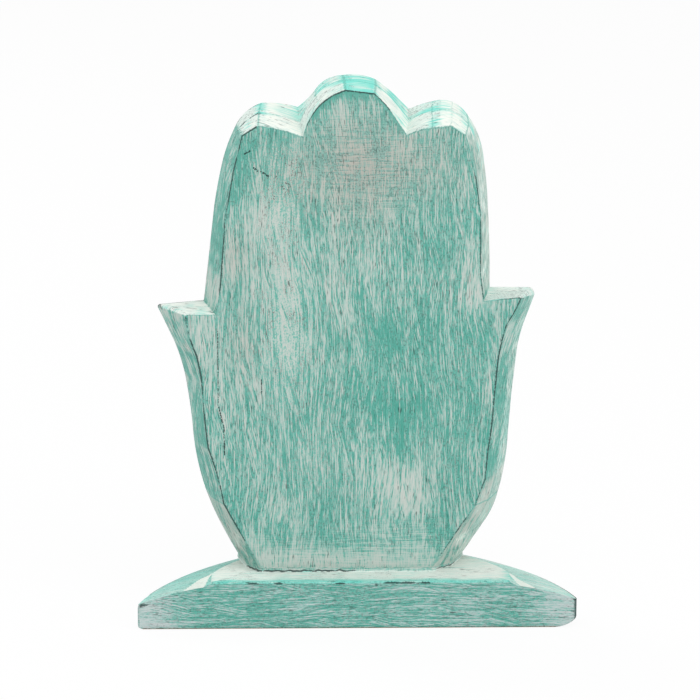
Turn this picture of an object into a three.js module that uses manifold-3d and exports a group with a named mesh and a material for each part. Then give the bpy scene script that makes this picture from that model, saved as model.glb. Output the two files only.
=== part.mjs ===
// Buddha hand ornament: a carved wooden hand with two outward thumbs, standing on a plinth.
// Millimetres, +Z up. The origin is on the ground, under the middle of the plinth.
// The straight side of the plinth and the plain side of the hand face -Y, the carved side +Y.

import * as THREE from "three";
import * as BufferGeometryUtils from "three/addons/utils/BufferGeometryUtils.js";
import Module from "manifold-3d";

const wasm = await Module();
wasm.setup();

// Gap between pieces that touch
const fitGap = 0.3;

// Plinth: a half round plan with a level plateau and a sloping rim. The plateau and the rim
// each end square for a short way at the straight side before their arc starts.
const baseLength = 240;
const baseDepth = 92;
const baseSquareEnd = 1.2;
const baseHeight = 27;
const rimHeightLeft = 14.4;
const rimHeightRight = 16.5;
const rimHeightBack = 18.2;
const rimFallPower = 1.45;
const plateauReachLeft = 80;
const plateauReachRight = 84;
const plateauDepth = 71;
const plateauSquareEnd = 16;
const plateauStep = 2.4;
const arrisWidth = 3;
const arrisDrop = 0.8;

// Sloping cut under the right end of the plinth
const endCutLength = 12;
const endCutHeight = 6.5;

// How far the plain side of the hand stands behind the straight side of the plinth
const frontMargin = 19;

// Bead of filler that closes the joint under the hand
const fillerThickness = 1.2;
const fillerOverhang = 1.8;

// Hand: reaches are measured from the middle of the plinth, heights from the foot of the hand
const handThickness = 32;
const crownHeight = 270.3;
const crownDrop = 4.4;
const ridgeDepth = 13;
const ridgeBulge = 1.2;

// Left and right half of the hand's outline on its carved side, and how far the chisel-cut edge
// draws each corner in on its plain side
const left = {
  footReach: 65.5,
  thumbReach: 108.9,
  thumbHeight: 140,
  thumbBlunt: 1.5,
  ledgeRise: 3,
  fingerReach: 83.4,
  shoulderReach: 68.6,
  shoulderHeight: 233,
  notchReach: 31.5,
  notchHeight: 251.7,
  footTaper: 13,
  thumbTaper: 16.2,
  fingerTaper: 7.5,
  shoulderTaper: 4.2,
  notchTaper: 2.7,
  notchDrop: 10.7,
};
const right = {
  footReach: 59.4,
  thumbReach: 98.4,
  thumbHeight: 146.6,
  thumbBlunt: 4.3,
  ledgeRise: 0.3,
  fingerReach: 73.6,
  shoulderReach: 67.8,
  shoulderHeight: 230.7,
  notchReach: 28.8,
  notchHeight: 250.5,
  footTaper: 18.6,
  thumbTaper: 9.5,
  fingerTaper: 4.7,
  shoulderTaper: 6.4,
  notchTaper: 1.9,
  notchDrop: 8.6,
};

// Handles of the curves between two corners of the outline, [reach, height] from each corner
const leftCarvedCurves = {
  belly: [[41.5, 63.5], [-31, -52]],
  finger: [[-3, 22], [10, -26]],
  lobe: [[-11, 28], [16, 3]],
  crown: [[-17, 15], [21, -1.6]],
};
const leftPlainCurves = {
  belly: [[41.5, 66.5], [-19, -66]],
  finger: [[-3, 22], [9, -40]],
  lobe: [[-4, 33], [-10, -10]],
  crown: [[-5, 22], [3, 3]],
};
const rightCarvedCurves = {
  belly: [[40, 40], [-24, -55]],
  finger: [[-0.5, 61], [1.5, -4]],
  lobe: [[-8, 40], [0.5, -1.5]],
  crown: [[-5, 4.5], [10.5, 0]],
};
const rightPlainCurves = {
  belly: [[55, 65], [-31, -68]],
  finger: [[-5, 63], [8, -30]],
  lobe: [[-2, 23], [3, 0.7]],
  crown: [[0, -0.5], [12, 4.6]],
};

// Niche cut into the carved side, with a sill, two sides and a pointed arch
const nicheDepth = 12;
const nicheDraft = 3;
const nicheBorder = 12;
const sillMargin = 6;
const sillHeight = 16;
const springHeight = 150;
const archHeight = 218;

// Grooves between the fingers, from each notch down to the arch
const grooveWidth = 5;
const grooveDepth = 3.5;
const grooveEndHeight = 212;

// Head in low relief: rounded forms on the floor of the niche. Width, height and the height
// of the middle above the foot of the hand; rise is how far each stands off the niche floor.
const middleForms = {
  face: { width: 70, height: 94, middle: 117, rise: 9.6 },
  hair: { width: 83, height: 76, middle: 147, rise: 8.8 },
  hairKnot: { width: 34, height: 30, middle: 182, rise: 8.6 },
  flame: { width: 11, height: 26, middle: 199, rise: 6 },
  neck: { width: 42, height: 60, middle: 66, rise: 7 },
  shoulders: { width: 124, height: 76, middle: 20, rise: 7.5 },
  nose: { width: 9, height: 34, middle: 114, rise: 12 },
  lips: { width: 21, height: 8, middle: 91.5, rise: 10.6 },
  chin: { width: 20, height: 14, middle: 79, rise: 8.6 },
};

// Forms that stand in pairs, each at its reach from the middle of the head
const pairedForms = {
  ear: { width: 13, height: 56, middle: 108, rise: 7, reach: 38.5 },
  eye: { width: 21, height: 9, middle: 120, rise: 10.2, reach: 15.5 },
};

// Wood screws that hold the hand from underneath
const screwSpacing = 56;
const screwLength = 48;
const screwDiameter = 4.5;
const screwCoreDiameter = 3.2;
const threadPitch = 2.4;
const plainShankLength = 21;
const screwTipLength = 4;
const headDiameter = 8.8;
const headRim = 0.6;
const counterboreDepth = 7;
const recessSpan = 4.6;
const recessWidth = 1.2;
const recessDepth = 1.8;

// How finely curves and round things are divided
const bellySteps = 12;
const lobeSteps = 7;
const planSteps = 48;
const roundSides = 24;
const threadSides = 12;
const formSides = 20;
const formRings = 12;
const threadStepsPerTurn = 6;

const fillerBottom = baseHeight + fitGap;
const footLevel = fillerBottom + fillerThickness + fitGap;
const footMiddle = (right.footReach - left.footReach) / 2;
const plainSide = frontMargin - baseDepth / 2;
const carvedSide = plainSide + handThickness;
const boardMiddle = plainSide + handThickness / 2;
const nicheFloor = carvedSide - nicheDepth;

// A closed body from rings that all have the same number of points. The first and the last
// ring are filled; flatten gives the two coordinates in which those two rings are drawn.
function loft(rings, flatten) {
  const count = rings[0].length;
  const positions = rings.flat().flatMap((point) => point.toArray());
  const indices = [];
  for (let ring = 0; ring < rings.length - 1; ring++) {
    for (let i = 0; i < count; i++) {
      const a = ring * count + i;
      const b = ring * count + ((i + 1) % count);
      indices.push(a, b, b + count, a, b + count, a + count);
    }
  }
  const lastStart = (rings.length - 1) * count;
  for (const [a, b, c] of fill(rings[0], flatten)) indices.push(a, c, b);
  for (const [a, b, c] of fill(rings[rings.length - 1], flatten)) {
    indices.push(lastStart + a, lastStart + b, lastStart + c);
  }
  const geometry = new THREE.BufferGeometry();
  geometry.setAttribute("position", new THREE.Float32BufferAttribute(positions, 3));
  geometry.setIndex(indices);
  return facingOut(geometry);
}

// Triangles that fill a ring, in the ring's own direction
function fill(ring, flatten) {
  const contour = ring.map(flatten);
  const triangles = THREE.ShapeUtils.triangulateShape(contour, []);
  const sameWay = THREE.ShapeUtils.area(contour) > 0;
  return triangles.map(([a, b, c]) => {
    const turn = contour[b].clone().sub(contour[a]).cross(contour[c].clone().sub(contour[a]));
    return turn > 0 === sameWay ? [a, b, c] : [a, c, b];
  });
}

// The same body with every face turned outwards
function facingOut(geometry) {
  const at = (i) => new THREE.Vector3().fromBufferAttribute(geometry.attributes.position, i);
  const index = geometry.index.array;
  let volume = 0;
  for (let i = 0; i < index.length; i += 3) {
    volume += at(index[i]).dot(at(index[i + 1]).cross(at(index[i + 2])));
  }
  if (volume < 0) geometry.setIndex(Array.from(index).reverse());
  return geometry;
}

// Geometry to solid and back, for cutting and joining
function solid(geometry) {
  const bare = geometry.clone();
  bare.deleteAttribute("normal");
  bare.deleteAttribute("uv");
  const merged = BufferGeometryUtils.mergeVertices(bare, 1e-4);
  return new wasm.Manifold(new wasm.Mesh({
    numProp: 3,
    vertProperties: new Float32Array(merged.attributes.position.array),
    triVerts: new Uint32Array(merged.index.array),
  }));
}

function geometryOf(body) {
  const mesh = body.getMesh();
  const geometry = new THREE.BufferGeometry();
  geometry.setAttribute("position", new THREE.BufferAttribute(mesh.vertProperties, 3));
  geometry.setIndex(new THREE.BufferAttribute(mesh.triVerts, 1));
  geometry.computeVertexNormals();
  return geometry;
}

// A turned body about a vertical axis at [x, y]; the profile lists [radius, height]
function turned(profile, x, y) {
  const points = profile.map(([radius, height]) => new THREE.Vector2(radius, height));
  const geometry = new THREE.LatheGeometry(points, roundSides);
  geometry.rotateX(Math.PI / 2);
  geometry.translate(x, y, 0);
  return facingOut(BufferGeometryUtils.mergeVertices(stripped(geometry), 1e-4));
}

function stripped(geometry) {
  geometry.deleteAttribute("normal");
  geometry.deleteAttribute("uv");
  return geometry;
}

// One half of the hand's outline from foot to crown, as [reach, height] points.
// inward says how much of the edge's taper is taken off: 0 on the carved side, 1 on the plain side.
function halfOutline(side, curves, inward) {
  const fingerReach = side.fingerReach - inward * side.fingerTaper;
  const thumbReach = side.thumbReach - inward * side.thumbTaper;
  const ledgeHeight = side.thumbHeight + side.thumbBlunt;
  const foot = [side.footReach - inward * side.footTaper, 0];
  const thumbTip = [thumbReach, side.thumbHeight];
  const ledgeOuter = [thumbReach - side.thumbBlunt / 2, ledgeHeight];
  const ledgeInner = [fingerReach, ledgeHeight + side.ledgeRise];
  const shoulder = [side.shoulderReach - inward * side.shoulderTaper, side.shoulderHeight];
  const notch = [
    side.notchReach - inward * side.notchTaper,
    side.notchHeight - inward * side.notchDrop,
  ];
  const crown = [0, crownHeight - inward * crownDrop];
  return [
    ...bend(foot, thumbTip, curves.belly, bellySteps),
    thumbTip,
    ledgeOuter,
    ...bend(ledgeInner, shoulder, curves.finger, lobeSteps),
    ...bend(shoulder, notch, curves.lobe, lobeSteps),
    ...bend(notch, crown, curves.crown, lobeSteps),
    crown,
  ];
}

// Points of a cubic curve from one corner up to, but without, the next
function bend(from, to, [handleOut, handleIn], steps) {
  const curve = new THREE.CubicBezierCurve(
    new THREE.Vector2(...from),
    new THREE.Vector2(from[0] + handleOut[0], from[1] + handleOut[1]),
    new THREE.Vector2(to[0] + handleIn[0], to[1] + handleIn[1]),
    new THREE.Vector2(...to),
  );
  return curve.getPoints(steps).slice(0, steps).map((point) => point.toArray());
}

// The whole outline, up the left half, over the crown and down the right half
function handOutline(leftCurves, rightCurves, inward) {
  const up = halfOutline(left, leftCurves, inward).map(([reach, height]) => [-reach, height]);
  const down = halfOutline(right, rightCurves, inward).reverse().slice(1);
  return [...up, ...down];
}

const carvedOutline = handOutline(leftCarvedCurves, rightCarvedCurves, 0);
const plainOutline = handOutline(leftPlainCurves, rightPlainCurves, 1);

// The chisel ridge that runs round the edge between the two sides, proud of a straight taper
function ridgePoint(i) {
  const share = ridgeDepth / handThickness;
  const [x, height] = plainOutline[i];
  const [carvedX, carvedHeight] = carvedOutline[i];
  const spread = Math.hypot(carvedX - x, carvedHeight - height);
  const reach = share + (spread > 0 ? ridgeBulge / spread : 0);
  return [x + (carvedX - x) * Math.min(reach, 1), height + (carvedHeight - height) * Math.min(reach, 1)];
}

function handRing(outline, y) {
  return outline.map(([x, height]) => new THREE.Vector3(x, y, footLevel + height));
}

function handBlank() {
  const rings = [
    handRing(plainOutline, plainSide),
    handRing(plainOutline.map((point, i) => ridgePoint(i)), plainSide + ridgeDepth),
    handRing(carvedOutline, carvedSide),
  ];
  return loft(rings, (point) => new THREE.Vector2(point.x, point.z));
}

// Half of the niche's outline from sill to arch; inward draws the sides in towards the floor
function halfNiche(side, inward) {
  const sill = [side.footReach - sillMargin - inward, sillHeight + inward];
  const spring = [side.fingerReach - nicheBorder - inward, springHeight];
  const arch = [0, archHeight - inward];
  const rise = springHeight - sillHeight;
  const crown = archHeight - springHeight;
  return [
    ...bend(sill, spring, [[rise / 6, rise / 4], [0, -rise / 2]], bellySteps),
    ...bend(spring, arch, [[0, crown / 2], [crown / 2, -crown / 3]], lobeSteps),
    arch,
  ];
}

function nicheRing(inward, y) {
  const up = halfNiche(left, inward).map(([reach, height]) => [-reach, height]);
  const down = halfNiche(right, inward).reverse().slice(1);
  return handRing([...up, ...down], y);
}

// The hollow of the niche down to a given floor, drawn past the carved side
function nicheHollow(floor) {
  const rings = [nicheRing(nicheDraft, floor), nicheRing(-1, carvedSide + nicheDraft)];
  return solid(loft(rings, (point) => new THREE.Vector2(point.x, point.z)));
}

// A groove that starts deep at the notch beside the middle finger and runs out at the arch
function fingerGroove(side, direction) {
  const sections = [
    [side.notchHeight + grooveWidth, grooveDepth],
    [grooveEndHeight, 0.5],
  ];
  const x = direction * side.notchReach;
  const rings = sections.map(([height, depth]) => [
    new THREE.Vector3(x - grooveWidth / 2, carvedSide + 1, footLevel + height),
    new THREE.Vector3(x + grooveWidth / 2, carvedSide + 1, footLevel + height),
    new THREE.Vector3(x, carvedSide - depth, footLevel + height),
  ]);
  return loft(rings, (point) => new THREE.Vector2(point.x, point.y));
}

// A rounded form half sunk into the floor of the niche
function roundedForm({ width, height, middle, rise }, x) {
  const form = new THREE.SphereGeometry(1, formSides, formRings);
  form.rotateX(Math.PI / 2);
  form.scale(width / 2, rise, height / 2);
  form.translate(x, nicheFloor, footLevel + middle);
  return form;
}

function carvedHand() {
  const grooves = solid(fingerGroove(left, -1)).add(solid(fingerGroove(right, 1)));
  const hollowed = solid(handBlank()).subtract(nicheHollow(nicheFloor)).subtract(grooves);
  const forms = [
    ...Object.values(middleForms).map((form) => roundedForm(form, footMiddle)),
    ...Object.values(pairedForms).map((form) => roundedForm(form, footMiddle - form.reach)),
    ...Object.values(pairedForms).map((form) => roundedForm(form, footMiddle + form.reach)),
  ];
  const relief = forms.map(solid).reduce((rest, form) => rest.add(form));
  return geometryOf(hollowed.add(relief.intersect(nicheHollow(nicheFloor - nicheDraft))));
}

// The foot of the hand seen from above, grown outwards by a margin
function footSection(margin, height) {
  const last = plainOutline.length - 1;
  const corners = [
    [plainOutline[0][0] - margin, plainSide - margin],
    [ridgePoint(0)[0] - margin, plainSide + ridgeDepth],
    [carvedOutline[0][0] - margin, carvedSide + margin],
    [carvedOutline[last][0] + margin, carvedSide + margin],
    [ridgePoint(last)[0] + margin, plainSide + ridgeDepth],
    [plainOutline[last][0] + margin, plainSide - margin],
  ];
  return corners.map(([x, y]) => new THREE.Vector3(x, y, height));
}

// Distance from the middle of the straight side to a half round outline: an arc that meets
// two short ends square to the straight side
function planReach(angle, halfLength, depth, squareEnd) {
  const arcHeight = depth - squareEnd;
  const radius = (halfLength ** 2 + arcHeight ** 2) / (2 * arcHeight);
  const centre = depth - radius;
  const across = Math.abs(Math.cos(angle));
  const arc = centre * Math.sin(angle) + Math.sqrt(radius ** 2 - (centre * across) ** 2);
  return Math.min(arc, halfLength / Math.max(across, 1e-6));
}

// A closed loop of the plinth: outward 0 is the plateau's edge, 1 is the foot of the rim
function plinthRing(outward, heightAt, inset = 0) {
  const ring = [];
  for (let i = 0; i <= planSteps; i++) {
    const angle = Math.PI * i / planSteps;
    const plateauReach = angle < Math.PI / 2 ? plateauReachRight : plateauReachLeft;
    const inner = planReach(angle, plateauReach, plateauDepth, plateauSquareEnd);
    const outer = planReach(angle, baseLength / 2, baseDepth, baseSquareEnd);
    const reach = inner + (outer - inner) * outward - inset;
    const x = reach * Math.cos(angle);
    const y = Math.max(reach * Math.sin(angle), inset) - baseDepth / 2;
    ring.push(new THREE.Vector3(x, y, heightAt(angle)));
  }
  return ring;
}

// Height of the sloping rim: a small step off the plateau's ends, which fades out towards the
// back, then a fall that steepens outwards to a rim that is highest at the back
function rimHeightAt(outward, angle) {
  const endHeight = angle < Math.PI / 2 ? rimHeightRight : rimHeightLeft;
  const rimHeight = rimHeightBack + (endHeight - rimHeightBack) * Math.cos(angle) ** 4;
  const edge = baseHeight - arrisDrop;
  const step = outward > 0 ? plateauStep * Math.cos(angle) ** 2 : 0;
  return edge - step - (edge - rimHeight - step) * outward ** rimFallPower;
}

function plinthBlank() {
  const slope = [1, 0.85, 0.65, 0.4, 0.1, 0];
  const underside = plinthRing(1, () => 0);
  for (const point of underside) point.x = Math.min(point.x, baseLength / 2 - endCutLength);
  const rings = [
    underside,
    plinthRing(1, () => endCutHeight),
    ...slope.map((outward) => plinthRing(outward, (angle) => rimHeightAt(outward, angle))),
    plinthRing(0, () => baseHeight, arrisWidth),
  ];
  return loft(rings, (point) => new THREE.Vector2(point.x, point.y));
}

const screwCentres = {
  base_screw_left: footMiddle - screwSpacing / 2,
  base_screw_right: footMiddle + screwSpacing / 2,
};
const shankRadius = screwDiameter / 2;
const headRadius = headDiameter / 2;
const headConeTop = headRim + headRadius - shankRadius;

// The room for a screw: counterbore, countersink and a clear bore past the tip
function screwBore(x) {
  const bottom = counterboreDepth - fitGap;
  return turned([
    [0, -1],
    [headRadius + fitGap, -1],
    [headRadius + fitGap, bottom + headRim + fitGap],
    [shankRadius + fitGap, bottom + headConeTop + fitGap],
    [shankRadius + fitGap, counterboreDepth + screwLength + fitGap],
    [0, counterboreDepth + screwLength + fitGap + shankRadius],
  ], x, boardMiddle);
}

// Radius of the screw at a height above its head and an angle round its axis: a countersunk
// head, a plain shank, a thread whose ridge climbs one pitch a turn, and a tapering tip
function screwRadius(height, angle) {
  if (height <= headRim) return headRadius;
  if (height <= headConeTop) return headRadius - (height - headRim);
  if (height <= plainShankLength) return shankRadius;
  const turn = height / threadPitch - angle / (2 * Math.PI);
  const ridge = 1 - 2 * Math.abs(turn - Math.floor(turn) - 0.5);
  const core = screwCoreDiameter / 2;
  const taper = Math.min(1, (screwLength - height) / screwTipLength);
  return Math.max((core + (shankRadius - core) * ridge) * taper, 0.2);
}

function screwBody(x) {
  const heights = [0, headRim, headConeTop, plainShankLength];
  const threadLength = screwLength - plainShankLength;
  const threadSteps = Math.ceil(threadLength / threadPitch * threadStepsPerTurn);
  for (let i = 1; i <= threadSteps; i++) {
    heights.push(plainShankLength + threadLength * i / threadSteps);
  }
  const rings = heights.map((height) => {
    const ring = [];
    for (let side = 0; side < threadSides; side++) {
      const angle = 2 * Math.PI * side / threadSides;
      const radius = screwRadius(height, angle);
      const place = [x + radius * Math.cos(angle), boardMiddle + radius * Math.sin(angle)];
      ring.push(new THREE.Vector3(...place, counterboreDepth + height));
    }
    return ring;
  });
  const shank = solid(loft(rings, (point) => new THREE.Vector2(point.x, point.y)));
  return geometryOf(shank.subtract(crossRecess(x)));
}

// Two crossed slots in the head
function crossRecess(x) {
  const sizes = [[recessSpan, recessWidth], [recessWidth, recessSpan]];
  const [first, second] = sizes.map(([alongX, alongY]) => {
    const slot = new THREE.BoxGeometry(alongX, alongY, 2 * recessDepth);
    slot.translate(x, boardMiddle, counterboreDepth);
    return solid(slot);
  });
  return first.add(second);
}

function withoutScrewBores(geometry) {
  const bores = Object.values(screwCentres).map((x) => solid(screwBore(x)));
  return geometryOf(bores.reduce((rest, bore) => rest.subtract(bore), solid(geometry)));
}

function fillerBead() {
  const rings = [
    footSection(fillerOverhang, fillerBottom),
    footSection(fillerOverhang / 3, fillerBottom + fillerThickness),
  ];
  return loft(rings, (point) => new THREE.Vector2(point.x, point.y));
}

const paintedWood = { color: 0x7cb0a6, roughness: 0.75, metalness: 0 };
const palePaintedWood = { color: 0xa9beb8, roughness: 0.8, metalness: 0 };
const woodFiller = { color: 0xb9c4bd, roughness: 0.9, metalness: 0 };
const zincSteel = { color: 0xb8b49c, roughness: 0.4, metalness: 1 };

const ornament = new THREE.Group();

function addPiece(name, geometry, finish) {
  const mesh = new THREE.Mesh(geometry, new THREE.MeshStandardMaterial(finish));
  mesh.name = name;
  ornament.add(mesh);
}

addPiece("base", withoutScrewBores(plinthBlank()), palePaintedWood);
addPiece("joint_filler", withoutScrewBores(fillerBead()), woodFiller);
addPiece("hand", withoutScrewBores(carvedHand()), paintedWood);
for (const [name, x] of Object.entries(screwCentres)) addPiece(name, screwBody(x), zincSteel);

export default ornament;
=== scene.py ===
"""Buddha hand ornament: carved wood in dry-brushed chalk paint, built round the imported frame.

Lengths are millimetres unless a name says otherwise. X is to the right as the plain side is
seen, +Y runs through the board to the carved side and Z is up from the ground.
"""
import math

import bpy
import numpy as np
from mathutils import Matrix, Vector
from mathutils.geometry import tessellate_polygon


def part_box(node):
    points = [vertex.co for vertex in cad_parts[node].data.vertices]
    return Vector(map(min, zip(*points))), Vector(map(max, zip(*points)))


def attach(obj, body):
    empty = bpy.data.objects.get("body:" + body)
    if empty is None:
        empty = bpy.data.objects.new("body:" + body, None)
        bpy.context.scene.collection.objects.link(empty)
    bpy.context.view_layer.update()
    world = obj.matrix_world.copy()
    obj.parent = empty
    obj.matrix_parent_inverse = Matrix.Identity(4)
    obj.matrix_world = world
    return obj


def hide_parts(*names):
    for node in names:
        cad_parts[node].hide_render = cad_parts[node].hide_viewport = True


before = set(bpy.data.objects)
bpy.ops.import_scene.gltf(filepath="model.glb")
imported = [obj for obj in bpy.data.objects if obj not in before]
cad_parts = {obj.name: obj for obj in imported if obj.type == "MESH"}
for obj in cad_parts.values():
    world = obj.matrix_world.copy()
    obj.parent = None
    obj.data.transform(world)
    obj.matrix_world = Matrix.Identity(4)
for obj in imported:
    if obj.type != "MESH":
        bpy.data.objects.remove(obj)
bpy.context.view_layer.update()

MM = 0.001


# Sizes taken from the frame

def box_mm(node):
    """Lowest and highest corner of a frame node, in millimetres."""
    return [np.array(corner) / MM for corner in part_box(node)]


hand_low, hand_high = box_mm("hand")
base_low, base_high = box_mm("base")
screw_nodes = ("base_screw_left", "base_screw_right")
PLAIN_Y = hand_low[1]
CARVED_Y = hand_high[1]
FOOT_Z = hand_low[2]
STRAIGHT_Y = base_low[1]
BASE_DEPTH = base_high[1] - base_low[1]
BASE_HALF_LENGTH = (base_high[0] - base_low[0]) / 2
PLATEAU_Z = base_high[2]
BOARD_MIDDLE_Y = (PLAIN_Y + CARVED_Y) / 2
BOARD_THICKNESS = CARVED_Y - PLAIN_Y

# Camera, as the photograph was taken
CAMERA_DISTANCE = 2000
CAMERA_ELEVATION = 14
CAMERA_AZIMUTH = -1
CAMERA_TARGET = (-3.4, BOARD_MIDDLE_Y, 148.5)
CAMERA_LENS = 188
CAMERA_FILM_WIDTH = 36


# Smooth numbers used by every surface

def smooth_step(value, low, high):
    """0 below low, 1 above high, an S curve between them: 3 s² - 2 s³."""
    share = np.clip((value - low) / (high - low), 0, 1)
    return share * share * (3 - 2 * share)


def bell(distance, width):
    """A bell curve: 1 at distance 0, falling off over the width."""
    return np.exp(-(distance / width) ** 2)


def waves(position, seed, count=6):
    """Soft irregular numbers around 0 along a line: a sum of sines with seeded periods."""
    random = np.random.default_rng(seed)
    total = np.zeros_like(position, dtype=float)
    for _ in range(count):
        period = random.uniform(0.35, 2.2)
        total += np.sin(2 * np.pi * (position / period + random.uniform()))
    return total / count


def blotches(x, y, size, seed):
    """Soft irregular numbers around 0 over a plane: sines crossing at seeded angles."""
    random = np.random.default_rng(seed)
    total = np.zeros_like(x, dtype=float)
    for _ in range(9):
        turn = random.uniform(0, 2 * np.pi)
        wavelength = size * random.uniform(0.6, 1.8)
        along = x * np.cos(turn) + y * np.sin(turn)
        total += np.sin(2 * np.pi * (along / wavelength + random.uniform()))
    return total / 4


# Outline of the hand: the corners where two chisel facets of the edge meet. Each row gives
# x and height on the plain side, how far the stretch after it bows outwards, and the same
# three for the carved side. Heights are above the foot of the hand.
EDGE_CORNERS = np.array([
    (-52.4, 0, 0.2, -65.5, 0, 1.3),
    (-72.9, 36.7, -0.8, -83.4, 36.7, 0.9),
    (-81.2, 68.3, 0.4, -89.9, 68.7, -0.5),
    (-84.2, 103.2, -0.4, -94.3, 103.2, -0.4),
    (-87.5, 122, 1, -100.1, 122, 0),
    (-92.7, 143, 0, -108.8, 140.7, 0.3),
    (-92, 143.5, 0, -107.9, 142.2, 0),
    (-75.9, 143.4, -0.3, -83.4, 144.4, 0),
    (-72.9, 171.8, 0, -80.2, 171.8, 0),
    (-70.9, 196.3, 0, -77.3, 196.8, 0.3),
    (-66.3, 222.4, 0, -72.4, 222.4, 0.5),
    (-61.5, 242, 0, -66, 240, 2.2),
    (-52.9, 247.4, 0.8, -51.5, 254, 1),
    (-28.8, 241, 1.2, -31.5, 251.7, -0.5),
    (-20.2, 258, 1.1, -21.9, 261.5, 2.1),
    (-5.9, 266.4, 0, -7, 269.2, 1.3),
    (9.4, 264.5, 0.7, 10.5, 266.9, 0.3),
    (20.7, 251.1, 0, 21.1, 258.3, 0),
    (26.9, 241.9, 0.8, 28.8, 250.5, 0.4),
    (40.5, 245.8, 0, 41.7, 254.7, 0.9),
    (50.3, 247.1, 0, 52.3, 254.4, 0.8),
    (58.5, 241.8, 0, 60.5, 247.6, 1.9),
    (63.6, 221.6, 0, 69.9, 221.6, 0.3),
    (66.8, 198.1, 0, 72.1, 199.2, 0.2),
    (67.1, 164.9, 0, 73.5, 165.2, 0),
    (68.9, 150.4, 0, 73.6, 151.2, 0),
    (88, 152.4, 0, 95.8, 151, 0.8),
    (88.9, 151.8, 0.4, 98.3, 146.8, 0),
    (81.2, 137.1, -0.3, 94.5, 136.2, -0.5),
    (77, 117.9, 0, 89.1, 117.2, 0),
    (74.6, 91.2, 0.4, 86.2, 90.6, 0),
    (72, 67.5, 0, 84.4, 67.2, 0.3),
    (70.4, 50.1, 0, 82.6, 50.2, 0.3),
    (65, 35.4, 0, 79.3, 34.7, 1.1),
    (51.9, 15.7, 0.3, 70.9, 16, 0.4),
    (40.6, 0, 0, 59.4, 0, 0),
])
LEFT_NOTCH, RIGHT_NOTCH = 13, 18
EDGE_SPACING = 1.31
# The last stretch is the foot, which is level
FOOT_FACET = len(EDGE_CORNERS) - 1
# Two strips of facets meet at a ridge round the edge. From corner to corner the ridge lies
# this far through the board and stands this far proud.
RIDGE_SHARE = (0.42, 0.6)
RIDGE_LIFT = (0.6, 1.9)
FOOT_RIDGE_SHARE = (0.29, 0.31)
FOOT_RIDGE_LIFT = (4.6, 6.4)
# Beyond this far from the middle the upward facets are the thumbs' ledges
LEDGE_X = 68
# Facets with a paint of their own: the tip of the middle finger, the end of the right thumb
MIDDLE_FACET = 15
RIGHT_TIP_FACET = 26
# How clearly the joint at each corner shows: two low ones and those of the fingers, but none
# in the notches and on the thumbs
CLEAR_JOINTS = {1: 1, 12: 0.9, 14: 0.5, 15: 1, 16: 1, 17: 0.3, 19: 0.7, 20: 0.5, 21: 0.9, 33: 0.9}
HIDDEN_JOINTS = (5, 6, 7, 13, 18, 25, 26, 27)
PLAIN_JOINT = 0.45
# Rings of points on the near strip of facets
NEAR_RINGS = 9
# Middle of the head on the carved side, as x and height
HEAD_MIDDLE = (-3.05, 115)
# How far the paint and the wood behind it are worn off the plain side
PLAIN_WEAR = 0.15
BORDER_WEAR = 0.3
# Rings closer to the border than this keep one inset all round
BORDER_BAND = 3

# What the paint reads from each point: how pale, how thick and how blue it is, drawn lines of
# wax, seams between two cuts, strokes across the grain, greying from hands, open pores, and how
# far the paint was worked into carving instead of drawn out. Pale also holds painted light on
# the carving's raised forms, and the lines of wax also hold painted shade in its hollows and
# along the right side of the hand's foot
PAINT_KEYS = ("pale", "bare", "aqua", "line", "seam", "cross", "grey", "pits", "worked")


def edge_samples():
    """Points round the outline: straight chords between corners, bowed by a parabola.

    Returns the plain and the carved outline as x, height arrays, the number of the facet each
    point lies on, its share of that facet's length and its distance along the carved outline.
    """
    plain, carved, facet, share = [], [], [], []
    for number, (a, b) in enumerate(zip(EDGE_CORNERS, np.roll(EDGE_CORNERS, -1, axis=0))):
        length = math.hypot(b[3] - a[3], b[4] - a[4])
        steps = max(2, round(length / EDGE_SPACING))
        s = np.arange(steps) / steps
        for side, column in ((plain, 0), (carved, 3)):
            chord = b[column:column + 2] - a[column:column + 2]
            outward = np.array([-chord[1], chord[0]]) / max(np.hypot(*chord), 1e-6)
            bow = a[column + 2] * 4 * s * (1 - s)
            side.append(a[column:column + 2] + s[:, None] * chord + bow[:, None] * outward)
        facet.append(np.full(steps, number))
        share.append(s)
    carved = np.concatenate(carved)
    lengths = np.hypot(*(np.roll(carved, -1, axis=0) - carved).T)
    along = np.concatenate([[0], np.cumsum(lengths)[:-1]])
    return np.concatenate(plain), carved, np.concatenate(facet), np.concatenate(share), along


# The niche and the head on the carved side

NICHE_DEPTH = 12
NICHE_DRAFT = 3
# The niche's lip lies a little outside its outline and is worn down
LIP_WIDTH = 0.6
LIP_WEAR = 0.4
NICHE_CORNERS = ((-59.5, 16), (-71.4, 150), (0, 218), (61.6, 150), (53.4, 16))
GROOVE_HALF_WIDTH = 3
GROOVE_DEPTH = 3.5
GROOVE_END_HEIGHT = 212


def curve(a, handle_a, handle_b, b, steps=60):
    """Points of a cubic curve between two corners, with handles measured from each corner."""
    a, b = np.array(a, float), np.array(b, float)
    s = np.linspace(0, 1, steps, endpoint=False)[:, None]
    one, two = a + handle_a, b + handle_b
    return (1 - s) ** 3 * a + 3 * s * (1 - s) ** 2 * one + 3 * s * s * (1 - s) * two + s ** 3 * b


def niche_outline():
    """The niche: a level sill, two nearly upright sides and a pointed arch."""
    sill_left, spring_left, apex, spring_right, sill_right = NICHE_CORNERS
    rise = spring_left[1] - sill_left[1]
    crown = apex[1] - spring_left[1]
    return np.concatenate([
        curve(sill_left, (-rise / 6, rise / 4), (0, -rise / 2), spring_left),
        curve(spring_left, (0, crown / 2), (-crown / 2, -crown / 3), apex),
        curve(apex, (crown / 2, -crown / 3), (0, crown / 2), spring_right),
        curve(spring_right, (0, -rise / 2), (rise / 6, rise / 4), sill_right),
        curve(sill_right, (0, 0), (0, 0), sill_left),
    ])


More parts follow.
